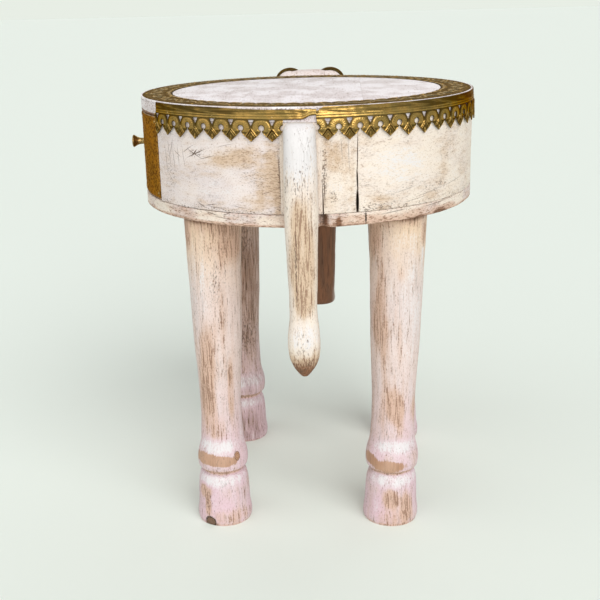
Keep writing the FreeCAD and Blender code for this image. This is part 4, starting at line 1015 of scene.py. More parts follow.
class TABLE_OT_border(bpy.types.Operator):
    """The embossed and pierced brass leaf border round the drum's upper edge"""

    bl_idname = "table.border"
    bl_label = "Leaf border"

    # Angle where the two lengths meet beside the tail
    JOINT = 4.9
    # How far the sheet leans out at the strip's lower edge, and as much again at the leaves' tips
    TILT = 0.0006
    # Painted highlight and shade: the angle where the border is left brightest, facing the camera and the
    # front lamp, and how far from it the painted darkening starts and is full
    HIGHLIGHT_ANGLE = 8.0
    SHADE_START = 20.0
    SHADE_FULL = 36.0
    STRIP_ROWS = 26
    LEAF_COLUMNS = 14

    def execute(self, context):
        size = sizes()
        brass = old_brass("border_brass_aged", brasses().border, 0.10, 0.75, relief=True, dents=0.12)
        for node, start, end, first, leaves in self.lengths(size):
            pieces = [self.strip(node, start, end, size)]
            for count in range(leaves):
                angle = first + count * arc(size.leaf_width)
                pieces += self.leaf(node, angle, start, end, size, random.Random(round(angle * 100)))
            piece = sealed(joined(pieces, node.replace("leaf_band", "leaf_border")))
            thickened(turned_out(piece))
            kept(piece, "table", "border_brass", brass, node)
        return {"FINISHED"}

    def lengths(self, size):
        """Each length's node, start and end angles, first leaf's angle and number of leaves."""
        pitch = arc(size.leaf_width)
        tail_gap = arc(0.017)
        head = 180 - arc(0.050)
        after_head = 180 + arc(0.050)
        drawer = 90 - OPENING - arc(0.002)

        def count(first, last):
            return math.ceil((last - first) / pitch - 0.3)

        left = count(tail_gap, drawer)
        return (
            ("leaf_band_rear_left", -drawer, self.JOINT, -tail_gap - (left - 0.5) * pitch, left),
            ("leaf_band_right", self.JOINT, head, tail_gap + 0.5 * pitch, count(tail_gap, head)),
            ("leaf_band_front_left", after_head, 180 + drawer, after_head + 0.5 * pitch,
             count(after_head, 180 + drawer)),
        )

    def edges(self, node, angle, size):
        """Heights of the strip's upper and lower edges: the two lengths were nailed on at odd heights."""
        top = STRIP_TOP + 0 * angle
        base = STRIP_TOP - size.strip_height + 0 * angle
        if node == "leaf_band_rear_left":
            sag = ramp(angle, -30, -10)
            top = top + 0.0006 - 0.0017 * sag
            base = base - 0.0003 * sag + 0.0042 * ramp(angle, 0.3, 3.8)
        elif node == "leaf_band_right":
            top = top + 0.0012 - 0.0042 * (1 - ramp(angle, self.JOINT, self.JOINT + 2.5))
            base = base + 0.0004
        return top, base

    def tarnish_and_shade(self, angle):
        """Painted shade: 0 at the front, where the border is left bright, rising to 1 towards its sides,
        where it is made to tarnish darker.
        """
        return ramp(np.abs(angle - self.HIGHLIGHT_ANGLE), self.SHADE_START, self.SHADE_FULL)

    def strip(self, node, start, end, size):
        """The plain strip over the leaves, with two ridges near its lower edge and fine creases."""
        layer = {}

        def place(s, t):
            angle = start + (end - start) * s
            top, base = self.edges(node, angle, size)
            z = base + (top - base) * t
            rise = z - base
            ridges = bump(rise - 0.0016, 0.0007) + 0.8 * bump(rise - 0.0040, 0.0007)
            waves = np.sin(angle * 0.4 + 2.2 * np.sin(z * 900 + angle * 0.13))
            waves = waves * bump(rise - 0.0070, 0.0030)
            fading = bump(np.sin(angle * 0.23 + z * 300), 0.7)
            creases = np.sin(z * 5200 + 1.5 * np.sin(angle * 0.35) + angle * 0.2) * fading
            warp = np.sin(angle * 1.7 + 1.3 * np.sin(angle * 0.41) + z * 250)
            lifted_end = bump(angle - start, 0.5) * (node == "leaf_band_right")
            relief = 0.48 + 0.45 * ridges + 0.16 * waves + 0.40 * creases - 0.45 * bump(rise, 0.0006)
            # Relief lowered away from the front so the strip tarnishes darker there: painted shade
            layer["relief"] = relief - 0.24 * self.tarnish_and_shade(angle)
            out = 0.0004 * ridges + 0.00018 * waves + 0.00005 * creases + 0.00010 * warp
            out = out + self.TILT * (1 - t) + 0.0010 * lifted_end
            return on_drum(DRUM_RADIUS + FIT + size.brass_thickness + out, angle, z)

        along = max(24, round((end - start) * 3.2))
        piece = wrapped(node + "_strip", along, self.STRIP_ROWS, place)
        return with_relief(piece, layer["relief"])

    def leaf(self, node, angle, start, end, size, chance):
        """One leaf as two half sheets, a little different from its neighbours."""
        shape = Leaf(size)
        rows = shape.rows()
        lean = chance.uniform(-0.00035, 0.00035)
        curl = chance.uniform(-0.0002, 0.0005)
        stretch = chance.uniform(0.97, 1.03)
        halves = []
        for side in (-1, 1):
            layer = {}

            def place(s, t):
                v = rows[np.rint(t * (len(rows) - 1)).astype(int)]
                inner = shape.inner(v)
                u = inner + (shape.outer(v) - inner) * s
                height = shape.height(u, v)
                # Relief lowered away from the front so the leaves tarnish darker there: painted shade
                layer["relief"] = height * (1 - 0.20 * self.tarnish_and_shade(angle))
                along = side * u + lean * ramp(v, 0.01, 0.022)
                turn = np.clip(angle + np.degrees(along / DRUM_RADIUS), start, end)
                drop = v * np.where(v > shape.neck, stretch, 1.0)
                z = self.edges(node, np.full(len(v), angle), size)[1] - drop
                out = self.TILT * (1 + v / shape.drop) + shape.relief * height
                out = out + curl * ramp(v, 0.012, 0.022)
                return on_drum(DRUM_RADIUS + FIT + size.brass_thickness + out, turn, z)

            half = wrapped("leaf_half", self.LEAF_COLUMNS, len(rows) - 1, place)
            halves.append(with_relief(half, layer["relief"]))
        return halves


class TABLE_OT_ring(bpy.types.Operator):
    """The embossed brass ring let into the top, with a scalloped inner edge"""

    bl_idname = "table.ring"
    bl_label = "Brass ring"

    SCALLOPS = 64
    SCALLOP_DEPTH = 0.0045
    MARGIN = 0.0018
    BEADS = 256
    SCROLLS = 32
    FRONDS = 96
    # The scroll's middle, as a share of the ring's width from its outer edge
    SCROLL_LINE = 0.44

    def execute(self, context):
        size = sizes()
        outer = DRUM_RADIUS - self.MARGIN
        layer = {}

        def place(s, t):
            angle = s * 360
            lobe = np.abs(np.sin(np.radians(angle * self.SCALLOPS / 2)))
            inner = outer - size.ring_width + self.SCALLOP_DEPTH * (1 - lobe)
            radius = inner + (outer - inner) * t
            height = self.embossing(angle, (outer - radius) / size.ring_width, lobe)
            layer["relief"] = height
            return on_drum(radius, angle, TABLE_TOP + size.ring_relief * (height - 0.1))

        piece = wrapped("embossed_ring", 1152, 26, place)
        piece = sealed(with_relief(piece, layer["relief"]))
        thickened(turned_out(piece, (0, 0, 1)))
        brass = old_brass("ring_brass_dark", brasses().ring, 0.20, 0.70, relief=True,
                          tarnish=brasses().soot, hollow=0.42)
        kept(piece, "table", "ring_brass", brass, "top_brass_ring")
        return {"FINISHED"}

    def embossing(self, angle, share, lobe):
        """A beaded rim, a running scroll with leaves in the middle and a petal in each scallop."""
        turn = np.radians(angle)
        bead = 0.75 * bump(share - 0.055, 0.03) * (0.6 + 0.4 * np.cos(turn * self.BEADS))
        line = 0.5 * bump(share - 0.13, 0.018) + 0.5 * bump(share - 0.74, 0.02)
        stem = 0.9 * bump(share - (self.SCROLL_LINE + 0.15 * np.sin(turn * self.SCROLLS)), 0.035)
        side = np.sign(np.sin(turn * self.SCROLLS + np.pi / 2))
        frond = np.abs(np.sin(turn * self.FRONDS + 3.0 * share))
        leaf_line = self.SCROLL_LINE - 0.17 * side * np.abs(np.cos(turn * self.SCROLLS))
        leaves = 0.85 * frond * bump(share - leaf_line, 0.10)
        petal = 0.9 * lobe ** 0.7 * bump(share - 0.88, 0.075)
        return np.maximum.reduce((bead, line, stem, leaves, petal))


class TABLE_OT_drawer_front(bpy.types.Operator):
    """The hammered brass on the drawer's curved front, and its turned brass knob"""

    bl_idname = "table.drawer_front"
    bl_label = "Drawer brass and knob"

    # The knob's outline: radius and distance out from the drawer
    KNOB = ((0, 0), (5.2, 0), (5.6, 0.6), (5.5, 1.4), (4.4, 2.4), (3.8, 3.6), (3.7, 6.2), (4.0, 8.6),
            (4.9, 11.4), (6.4, 14.1), (7.3, 15.5), (7.4, 16.2), (7.0, 16.7), (5.2, 17.0), (3.0, 17.4),
            (0, 17.5))

    def execute(self, context):
        half = (FRONT_HIGH.y - FRONT_LOW.y) / 2
        low = FRONT_LOW.z
        high = FRONT_HIGH.z

        def place(s, t):
            y = half * (2 * s - 1)
            z = low + (high - low) * t
            edge = np.minimum(half - np.abs(y), np.minimum(z - low, high - z))
            bulge = 0.0005 * bump(edge - 0.0022, 0.0012) - 0.0004 * ramp(-edge, -0.001, 0)
            return on_drum(DRUM_RADIUS + bulge, -90 + np.degrees(np.arcsin(y / DRUM_RADIUS)), z)

        piece = turned_out(sealed(wrapped("hammered_front", 240, 100, place)), (-1, 0, 0))
        uneven(piece, (0.0042, 0.0006), kind="VORONOI")
        uneven(piece, (0.03, 0.0006))
        thickened(piece)
        brass = old_brass("cladding_brass", brasses().cladding, 0.34, 0.68, 0.2, dents=1.0,
                          grain=(460, 130, 420), tarnish=brasses().patina)
        kept(piece, "drawer", "hammered_brass", brass, "drawer_front_brass")
        self.knob()
        return {"FINISHED"}

    def knob(self):
        """The trumpet-shaped knob, turned round its own axis along -X."""
        middle = (KNOB_LOW + KNOB_HIGH) / 2

        def place(s, t):
            radius, out = through(np.array(self.KNOB) / MM, t).T
            radius = np.maximum(radius, 0)
            turn = s * 2 * np.pi
            return KNOB_HIGH.x - out, middle.y + radius * np.cos(turn), middle.z + radius * np.sin(turn)

        piece = sealed(wrapped("turned_knob", 48, 72, place))
        brass = old_brass("knob_brass", brasses().fitting, 0.20, 0.6, 0.4, dents=0.15)
        kept(piece, "drawer", "turned_brass", brass, "drawer_knob")


# Legs

LEG_TOP = DRUM_BASE * MM
# Leg: foot drift in X, neck radius
LEGS = {"rear_left": (-2, 24.6), "rear_right": (-8, 26), "front_left": (0, 26), "front_right": (9, 26)}
# A leg's height and radius up its foot, its height and growth past the neck's radius up its ball, the
# height of its shaft's middle with its share of the growth there, and the radius of its head
LEG_FOOT = ((0, 31.2), (1.5, 31.7), (24, 30.9), (47, 29.9), (55.5, 28.9), (61.5, 26.8))
LEG_BALL = ((64.8, -1.2), (66.2, -0.8), (68.8, 3.0), (73.5, 4.8), (80, 5.3), (87, 4.7), (94, 3.0),
            (101.5, 1.2), (118, 0))
LEG_SHAFT = (240, 0.48)
LEG_HEAD = 32
# Patches on the legs: angle from the tail's side, height, half width, half height, amount and softness
# Bands round every leg: worn paint in the groove under the ball and at the top under the drum, partly wear
# and partly painted shade where the ball and the drum shade the leg; and worn paint at the foot's lower
# edge
LEG_BANDS_WEAR_AND_SHADE = ((0, 67, 60, 4.5, 0.80, 0.4), (0, 1, 60, 3, 0.30), (0, LEG_TOP, 60, 18, 0.46, 0.6))
LEG_MARKS = {
    "rear_left": (
        (-16, 238, 12, 34, 0.36), (-26, 192, 15, 50, 0.62), (-38, 150, 16, 45, 0.60),
        # The worn patches at the top on the inner side, under the drum, are partly wear and partly painted
        # shade
        (38, 170, 6, 60, 0.56, 0.3), (52, 350, 20, 34, 0.60), (20, 345, 18, 34, 0.46),
        (-14, 101, 36, 12, -0.60), (-12, 57.5, 42, 11, -0.60, 0.6), (-44, 43, 14, 13, 0.80, 0.4),
        (-34, 25, 6, 16, 0.80, 0.4), (20, 12, 40, 12, 0.26, 0.4), (-62, 358, 12, 24, 0.70),
        (-40, 295, 22, 55, -0.26), (14, 262, 12, 50, 0.22), (-4, 120, 12, 24, 0.28),
    ),
    "rear_right": (
        (-38, 300, 11, 40, 0.28), (-46, 262, 15, 40, 0.46), (-34, 228, 14, 38, 0.28),
        (7, 310, 5, 11, 0.40), (8, 232, 5, 38, 0.26), (1, 152, 14, 30, 0.58, 0.3),
        (14, 138, 9, 30, 0.46, 0.4), (62, 142, 9, 20, 0.46), (-24, 156, 9, 32, 0.32),
        (8, 100, 36, 11, -0.60), (0, 57.5, 42, 11, -0.60, 0.6), (-2, 34, 12, 16, 0.80),
        (33, 24, 11, 22, 0.76), (8, 10, 26, 14, 0.34), (66, 352, 10, 18, 0.70, 0.3),
        (-60, 350, 16, 28, 0.62), (35, 280, 30, 90, -0.36), (-80, 200, 10, 160, 0.14),
        (0, 350, 20, 20, -0.08),
    ),
    "front_left": (
        # The wide worn patch over the shaft's side towards the tail is partly wear and partly painted
        # shade under the table
        (150, 180, 14, 50, 0.40), (0, 250, 60, 200, 0.24), (0, 90, 60, 12, -0.5), (0, 57.5, 60, 9, -0.4),
    ),
    "front_right": (
        (140, 200, 14, 50, 0.40), (200, 300, 14, 40, 0.38), (0, 90, 60, 12, -0.5), (0, 57.5, 60, 9, -0.4),
    ),
}
LEG_SOIL = {
    "rear_left": (
        (-36, 30, 12, 22, 0.14), (-12, 335, 14, 30, 0.07), (4, 290, 10, 50, 0.10), (22, 330, 10, 30, 0.06),
        (-45, 300, 14, 60, 0.06),
    ),
    "rear_right": ((-44, 250, 12, 50, 0.03), (0, 220, 60, 160, -0.05)),
    "front_left": ((10, 300, 30, 50, 0.20), (20, 160, 30, 40, 0.18)),
}
# Dark wood and painted shade: painted shade at the near legs' tops under the drum, and on the far legs'
# sides that face the table's middle, where it is partly dark wood too; dark wood round one foot's knot
LEG_STAINS_AND_SHADE = {
    "rear_left": ((-27, 1, 12, 8, 1.0, 0.4), (0, LEG_TOP, 60, 7, 0.8)),
    "rear_right": ((0, LEG_TOP, 60, 7, 0.8),),
    "front_left": ((10, 330, 60, 200, 0.50), (10, 140, 60, 160, 0.30), (10, 20, 50, 34, 0.34, 0.4)),
    "front_right": ((-10, 330, 60, 200, 0.50), (-10, 140, 60, 160, 0.30)),
}
LEG_BARE = {
    "rear_left": ((-36, 85, 34, 11, 1.0, 0.3), (10, 83, 24, 9, 1.0, 0.3)),
    "rear_right": ((-8, 76.5, 30, 11.5, 1.0, 0.3), (-62, 82.5, 19, 10.5, 1.0, 0.3)),
    "front_left": ((160, 80, 26, 12, 1.0, 0.3),),
    "front_right": ((170, 80, 26, 12, 1.0, 0.3),),
}
# Knots: angle, height, half width, half height and how dark they are
LEG_KNOTS = {
    "rear_left": ((42, 88, 4.1, 5.9, 0.0), (-27, 5, 7.4, 7, 1.0)),
    "front_right": ((150, 120, 5, 8, 0.0),),
}


class TABLE_OT_legs(bpy.types.Operator):
    """The four turned legs with their foot, groove and ball"""

    bl_idname = "table.legs"
    bl_label = "Legs"

    def execute(self, context):
        paint = paints()
        coats = [paint.blush, (paint.peach, 0.26, 0.39), (paint.rose, 0.22, 0.06)]
        for seed, (name, (drift, neck)) in enumerate(LEGS.items(), 31):
            foot = FEET["foot_" + name]
            piece = self.leg("turned_leg_" + name, foot, drift, neck)

            def spots(marks):
                return self.patches(foot, drift, neck, marks)

            wash = whitewash("whitewash_leg_" + name, seed, coats, wear=0.03, cool=0.4,
                             marks=spots(LEG_MARKS[name] + LEG_BANDS_WEAR_AND_SHADE),
                             knots=[knot[:3] for knot in spots(LEG_KNOTS.get(name, ()))],
                             soiled_and_shaded=spots(LEG_SOIL.get(name, ())), stains_and_shade=spots(LEG_STAINS_AND_SHADE[name]),
                             bare=spots(LEG_BARE[name]))
            kept(piece, "table", "whitewashed_wood", wash, "leg_" + name)
        return {"FINISHED"}

    def section(self, neck, height):
        """Radius of a turned leg by height: foot, groove, ball and tapered shaft."""
        middle, growth = LEG_SHAFT
        ball = [(level, neck + past) for level, past in LEG_BALL]
        knots = (*LEG_FOOT, *ball, (middle, neck + growth * (LEG_HEAD - neck)), (LEG_TOP, LEG_HEAD))
        heights, radii = np.array(knots).T / MM
        return smooth_at(heights, radii[:, None], height)[:, 0]

    def axis(self, foot, drift, height):
        """The leaning leg's middle at a height."""
        return foot.x - drift * height / LEG_TOP, foot.y

    def patches(self, foot, drift, neck, marks):
        """Patches on a leg's surface from angles about it and heights."""
        spots = []
        for angle, height, wide, tall, amount, *soft in marks:
            x, y = self.axis(foot, drift, height / MM)
            radius = float(self.section(neck, np.array([height / MM]))[0])
            turn = math.radians(angle)
            at = (x + radius * math.sin(turn), y - radius * math.cos(turn), height / MM)
            spots.append((at, (wide / MM, wide / MM, tall / MM), amount, soft[0] if soft else SOFT))
        return spots

    def leg(self, name, foot, drift, neck):
        rows = np.concatenate((np.linspace(0, 0.120, 76), np.linspace(0.1235, DRUM_BASE, 74)))
        end_fill = (0.0, 0.6, 1.0)
        ends = len(end_fill) - 1
        last = len(rows) + 2 * ends - 1

        def place(s, t):
            row = np.rint(t * last).astype(int)
            height = rows[np.clip(row - ends, 0, len(rows) - 1)]
            fill = np.choose(np.minimum(np.minimum(row, last - row), ends), end_fill)
            turn = s * 2 * np.pi
            hand = 1 + 0.006 * np.sin(2 * turn + height * 9) + 0.004 * np.sin(3 * turn - height * 17)
            radius = self.section(neck, height) * fill * hand
            x, y = self.axis(foot, drift, height)
            return x + radius * np.sin(turn), y - radius * np.cos(turn), height

        piece = sealed(wrapped(name, 84, last, place))
        uneven(piece, (0.03, 0.0009), (0.006, 0.00025))
        spots = rows_of(piece, "co")
        spots[:, 2] = np.clip(spots[:, 2], 0, DRUM_BASE)
        put_points(piece, spots)
        return piece


# Carving

HEAD_LENGTH = 0.335


def carved(name, sections, toward, around, along, square, lean=0.0):
    """A carved form through level sections: drop below the top, half width, back and front from the drum.

    Toward is -1 on the tail's side and 1 on the head's. A square above 2 flattens the sides."""
    sections = np.asarray(sections) / MM

    def place(s, t):
        drop, half, back, front = through(sections, t).T
        turn = s * 2 * np.pi
        side = np.sign(np.sin(turn)) * np.abs(np.sin(turn)) ** (2 / square)
        out = np.sign(np.cos(turn)) * np.abs(np.cos(turn)) ** (2 / square)
        x = AXIS.x + lean * (1 - drop / HEAD_LENGTH) + np.maximum(half, 0) * side
        y = AXIS.y + toward * (DRUM_RADIUS + (front + back) / 2 + (front - back) / 2 * out)
        return x, y, TABLE_TOP - drop

    return sealed(wrapped(name, around, along, place))


class TABLE_OT_tail(bpy.types.Operator):
    """The carved tail that hangs down the drum and ends in a pointed bulb"""

    bl_idname = "table.tail"
    bl_label = "Tail"

    SECTIONS = (
        (284.5, 0, 14.5, 14.5), (283.5, 2.8, 11.5, 17.5), (279, 7.2, 8.5, 21), (273, 11.5, 6, 24),
        (262, 15.6, 3, 28), (247, 17.2, 2, 31), (232, 16.4, 2, 29.6), (218, 14.9, 2, 27.6),
        (206, 14.5, 2, 27), (180, 15.3, 1.6, 28), (154, 16.2, 1, 29), (120, 17.2, -1, 29.8),
        (92, 17.8, -3, 30), (58, 17.2, -3, 28.6), (30, 16.2, -3, 26.4), (19.5, 15.6, -3, 23.5),
        (16, 13.2, -2.6, 19), (15, 8.5, 0, 14), (15, 0, 7, 7),
    )
    # Patches on its face: x, height, half width, half height, amount and softness
    FACE = AXIS.y - DRUM_RADIUS - 0.028
    MARKS = (
        (1, 345, 18, 75, 0.66, 0.4), (-6, 335, 3, 60, 0.26), (3, 300, 14, 20, 0.30, 0.3),
        (-5, 392, 12, 26, 0.30), (5, 350, 3, 40, 0.22), (0, 462, 30, 50, -0.75),
        (0, 265, 20, 21, -0.34, 0.3), (0, 218, 30, 30, 1.2, 0.35), (-14, 240, 7, 14, 0.40),
        (14, 240, 7, 16, 0.40),
    )
    # The tall narrow patch on the left at x -15 is partly grime and partly painted shade on the tail's
    # left side
    SOIL_AND_SHADE = ((0, 255, 12, 22, 0.11), (0, 425, 16, 30, 0.10), (-6, 345, 1.6, 60, 0.26),
            (0, 225, 20, 12, 0.14), (-15, 420, 4, 50, 0.12))
    TIP = ((0, 211, 40, 30, 1.3, 0.6),)

    def execute(self, context):
        piece = carved("carved_tail", self.SECTIONS, -1, 72, 190, 2.35)
        off_drum(uneven(piece, (0.022, 0.0011), (0.005, 0.00035)))
        wash = whitewash("whitewash_tail", 51, [paints().cream], marks=self.patches(self.MARKS, 0.05),
                         soiled_and_shaded=self.patches(self.SOIL_AND_SHADE, 0.02), stains_and_shade=self.patches(self.TIP, 0.05),
                         worn=paints().straw)
        kept(piece, "table", "whitewashed_wood", wash, "tail")
        return {"FINISHED"}

    def patches(self, marks, depth):
        return [((AXIS.x + x / MM, self.FACE, z / MM), (wide / MM, depth, tall / MM), amount,
                 soft[0] if soft else SOFT) for x, z, wide, tall, amount, *soft in marks]


class TABLE_OT_head(bpy.types.Operator):
    """The carved head with its domed forehead, brows and wrinkled trunk"""

    bl_idname = "table.head"
    bl_label = "Head and trunk"

    LEAN = -0.003
    SECTIONS = (
        (335, 0, 29, 29), (335, 18, 15, 43), (334, 25.5, 10.5, 47.5), (331, 27.5, 9, 49),
        (316, 27.6, 7.5, 48), (300, 28.4, 5, 46), (262, 30, 4, 46), (230, 31.5, 3, 47),
        (198, 32.6, 1.5, 50), (170, 34, 0, 53), (145, 37, -3, 57), (120, 40.5, -6, 62),
        (102, 43.5, -8, 66), (85, 46, -10, 69), (68, 48.4, -11, 70.6), (52, 49.3, -11, 71),
        (36, 49, -10, 69), (22, 47.5, -9, 65), (10, 44.5, -4, 58), (2, 41, 2, 50),
        (-2.4, 36, 6, 46), (-5, 27, 11, 40), (-5.6, 14, 18, 33), (-5.6, 0, 25, 25),
    )
    # Swellings on both sides, dome, brow and cheek: aside, out from the drum, below the top, and radii
    LUMPS = (
        ((28, 27, 9), (19.5, 24, 17)),
        ((29, 54, 38), (15, 13, 7)),
        ((29, 46, 106), (13.5, 14, 16)),
    )
    # Wear: x, distance out from the drum, height, half width, half height and amount
    MARKS = ((-20, 50, 330, 14, 60, 0.42), (15, 50, 240, 14, 60, 0.44), (-35, 55, 460, 16, 18, 0.40),
             (35, 55, 400, 16, 24, 0.42), (0, 70, 430, 20, 40, -0.30))
    WRINKLE_GAP = 0.0125

    def execute(self, context):
        shapes = [carved("carved_head", self.SECTIONS, 1, 96, 230, 2.1, self.LEAN)]
        for side in (-1, 1):
            shapes += [self.lump(side, *lump) for lump in self.LUMPS]
        piece = joined(shapes, "carved_head")
        finished(piece, "REMESH", mode="VOXEL", voxel_size=0.0016, use_smooth_shade=True)
        finished(piece, "SMOOTH", factor=0.5, iterations=7)
        self.carve(piece)
        off_drum(uneven(piece, (0.02, 0.0010)))
        back = AXIS.y + DRUM_RADIUS
        marks = [((AXIS.x + x / MM, back + out / MM, z / MM), (wide / MM, 0.02, tall / MM), amount, SOFT)
                 for x, out, z, wide, tall, amount in self.MARKS]
        # Dark wood on the trunk's back, partly painted shade, as it hangs in the shade under the drum
        trunk_back_wood_and_shade = ((AXIS.x, back, 0.25), (0.075, 0.034, 0.20), 1.7, SOFT)
        wash = whitewash("whitewash_head", 61, [paints().shell], cool=0.4, marks=marks,
                         stains_and_shade=[trunk_back_wood_and_shade])
        kept(piece, "table", "whitewashed_wood", wash, "head")
        return {"FINISHED"}

    def lump(self, side, at, radii):
        """A swelling on one side of the head."""
        select_only(None)
        bpy.ops.mesh.primitive_uv_sphere_add(segments=48, ring_count=24, radius=1)
        piece = bpy.context.object
        aside, out, drop = Vector(at) / MM
        place = Vector((AXIS.x + self.LEAN + side * aside, AXIS.y + DRUM_RADIUS + out, TABLE_TOP - drop))
        piece.data.transform(Matrix.Translation(place) @ Matrix.Diagonal((*(Vector(radii) / MM), 1)))
        return piece

    def carve(self, piece):
        """Cuts the trunk's wrinkles, the mouth line and the hollows round the eyes."""
        spots = rows_of(piece, "co")
        normals = rows_of(piece, "normal")
        drop = TABLE_TOP - spots[:, 2]
        out = spots[:, 1] - AXIS.y - DRUM_RADIUS
        aside = spots[:, 0] - AXIS.x - self.LEAN * (1 - drop / HEAD_LENGTH)
        phase = (drop + 0.006 * (aside / 0.03) ** 2) % self.WRINKLE_GAP
        wrinkle = bump(np.minimum(phase, self.WRINKLE_GAP - phase), 0.0016)
        wrinkle *= ramp(normals[:, 1], -0.1, 0.6) * ramp(drop, 0.125, 0.150) * ramp(-drop, -0.322, -0.310)
        eye = np.hypot(np.abs(aside) - 0.041, drop - 0.052)
        socket = bump(eye - 0.0085, 0.0035) * ramp(out, 0.035, 0.045)
        mouth = bump(drop - 0.128 - 0.25 * (0.06 - out), 0.0022)
        mouth *= ramp(np.abs(aside), 0.018, 0.026) * ramp(out, 0.0, 0.02)
        depth = 0.0014 * wrinkle + 0.0016 * socket + 0.0020 * mouth
        put_points(piece, spots - normals * depth[:, None])


class TABLE_OT_head_trim(bpy.types.Operator):
    """The ears and tusks"""

    bl_idname = "table.head_trim"
    bl_label = "Ears and tusks"

    EAR_ANGLE = 31.0
    EAR_TOP = 0.4624
    EAR_MIDDLE = (2, 60)
    EAR_OUTLINE = ((-42, 14), (-22, 3), (2, 0), (26, 9), (42, 26), (50, 48), (49, 72), (38, 98), (22, 117),
                   (4, 130), (-12, 124), (-22, 104), (-29, 83), (-34, 62), (-40, 36), (-42, 14))
    # Share of the mesh's rows that make the ear's face; the rest turn in behind its rim
    EAR_FACE = 0.8
    # The tusk's curve: aside, out from the drum and up from the top, and its radii
    TUSK = ((27, 43, -108), (43, 73, -139), (52, 97, -124))
    TUSK_RADII = (0.0080, 0.0030)

    def execute(self, context):
        for seed, (name, side) in enumerate((("left", 1), ("right", -1)), 71):
            piece = self.ear("carved_ear_" + name, side)
            at = spot(DRUM_RADIUS + 0.013, 180 + side * 36, 0.40)
            wash = whitewash("whitewash_ear_" + name, seed, [paints().cream], cool=0.4,
                             marks=[(at, (0.03, 0.03, 0.03), 0.36, SOFT)])
            kept(piece, "table", "whitewashed_wood", wash, "ear_" + name)
            piece = self.tusk("carved_tusk_" + name, -side)
            kept(piece, "table", "tusk_wood", tusk_wood("tusk_wood_" + name), "tusk_" + name)
        return {"FINISHED"}

    def ear(self, name, side):
        """A fan-shaped ear with a thick rim and soft folds, lying on the drum."""
        middle = np.array(self.EAR_MIDDLE) / MM
        outline = np.array(self.EAR_OUTLINE) / MM

        def place(s, t):
            reach = np.clip(t / self.EAR_FACE, 0, 1)
            under = np.clip((t - self.EAR_FACE) / (1 - self.EAR_FACE), 0, 1)
            spread = reach * (1 - 0.03 * ramp(under, 0.5, 1.0))
            flat = middle + (through(outline, s) - middle) * spread[:, None]
            fold = 0.0016 * np.cos(s * 2 * np.pi * 7 + 2.0 * reach)
            fold = fold * ramp(reach, 0.25, 0.6) * (1 - ramp(reach, 0.8, 0.98))
            body = 0.0075 + 0.0030 * ramp(reach, 0.0, 0.25) * (1 - ramp(reach, 0.3, 0.75))
            rim = 0.0040 * bump(reach - 0.86, 0.10)
            lift = (body + rim + fold) * rounded_off(reach, 0.93, 1.005, 0.75)
            lift = lift * (1 - under) + FIT * under
            angle = 180 + side * (self.EAR_ANGLE + np.degrees(flat[:, 0] / DRUM_RADIUS))
            return on_drum(DRUM_RADIUS + FIT + lift, angle, self.EAR_TOP - flat[:, 1])

        piece = sealed(wrapped(name, 144, 60, place))
        select_only(piece)
        bpy.ops.object.mode_set(mode="EDIT")
        bpy.ops.mesh.select_all(action="DESELECT")
        bpy.ops.mesh.select_mode(type="EDGE")
        bpy.ops.mesh.select_non_manifold()
        bpy.ops.mesh.edge_face_add()
        bpy.ops.mesh.select_all(action="SELECT")
        bpy.ops.mesh.normals_make_consistent(inside=False)
        bpy.ops.object.mode_set(mode="OBJECT")
        return off_drum(uneven(piece, (0.014, 0.0006)))

    def tusk(self, name, side):
        """A short tusk that curves out and up, its root in the cheek."""
        root, bend, tip = np.array(self.TUSK) / MM * (side, 1, 1)
        base = np.array((AXIS.x, AXIS.y + DRUM_RADIUS, TABLE_TOP))
        thick, thin = self.TUSK_RADII

        def unit(rows):
            return rows / np.linalg.norm(rows, axis=1)[:, None]

        def place(s, t):
            t = t[:, None]
            centre = root * (1 - t) ** 2 + bend * 2 * t * (1 - t) + tip * t ** 2
            along = unit((bend - root) * (1 - t) + (tip - bend) * t)
            across = unit(np.cross(along, (0.0, 0.0, 1.0)))
            up = np.cross(across, along)
            radius = (thick + (thin - thick) * t) * rounded_off(t, 0.86, 1.0) * np.clip(t / 0.02, 0, 1)
            turn = s[:, None] * 2 * np.pi
            return (base + centre + (across * np.cos(turn) + up * np.sin(turn)) * radius).T

        return uneven(sealed(wrapped(name, 40, 56, place)), (0.012, 0.0005))


class TABLE_OT_carried(bpy.types.Operator):
    """Finishes for the pieces whose shape is already right: rails, drawer box, fasteners, eyes and caps"""

    bl_idname = "table.carried"
    bl_label = "Inner pieces and fasteners"

    def execute(self, context):
        wood = inners()
        tack = old_brass("tack_brass", brasses().fitting, 0.28, 0.6, 0.4, dents=0.15)
        cap = old_brass("cap_brass", brasses().cap, 0.34, 0.8, dents=0.3)
        kinds = (
            (bare_wood("rail_wood", 0, 1, wood.rail, wood.rail_dark),
             ("drawer_runner", "drawer_guide", "drawer_kicker", "drawer_stop")),
            (bare_wood("drawer_wood", 0, 4, wood.box, wood.box_dark),
             ("drawer_side", "drawer_back", "drawer_bottom", "drawer_front")),
            (bare_wood("block_wood", 2, 7, wood.rail, wood.rail_dark),
             ("leg_block", "leg_wedges", "wall_dowels", "top_dowels")),
            (steel("screw_steel"),
             ("bottom_screws", "kicker_screws", "tail_screws", "head_screws", "ear_nails", "drawer_nails",
              "knob_screw")),
            (tack, ("ring_tacks", "band_tacks", "drawer_brass_tacks", "forehead_tacks", "eyes")),
            (cap, ("forehead_brass",)),
        )
        for material, starts in kinds:
            for name, node in frame["nodes"].items():
                if name.startswith(starts) and not node.hide_render:
                    node.data.materials.clear()
                    node.data.materials.append(material)
        return {"FINISHED"}


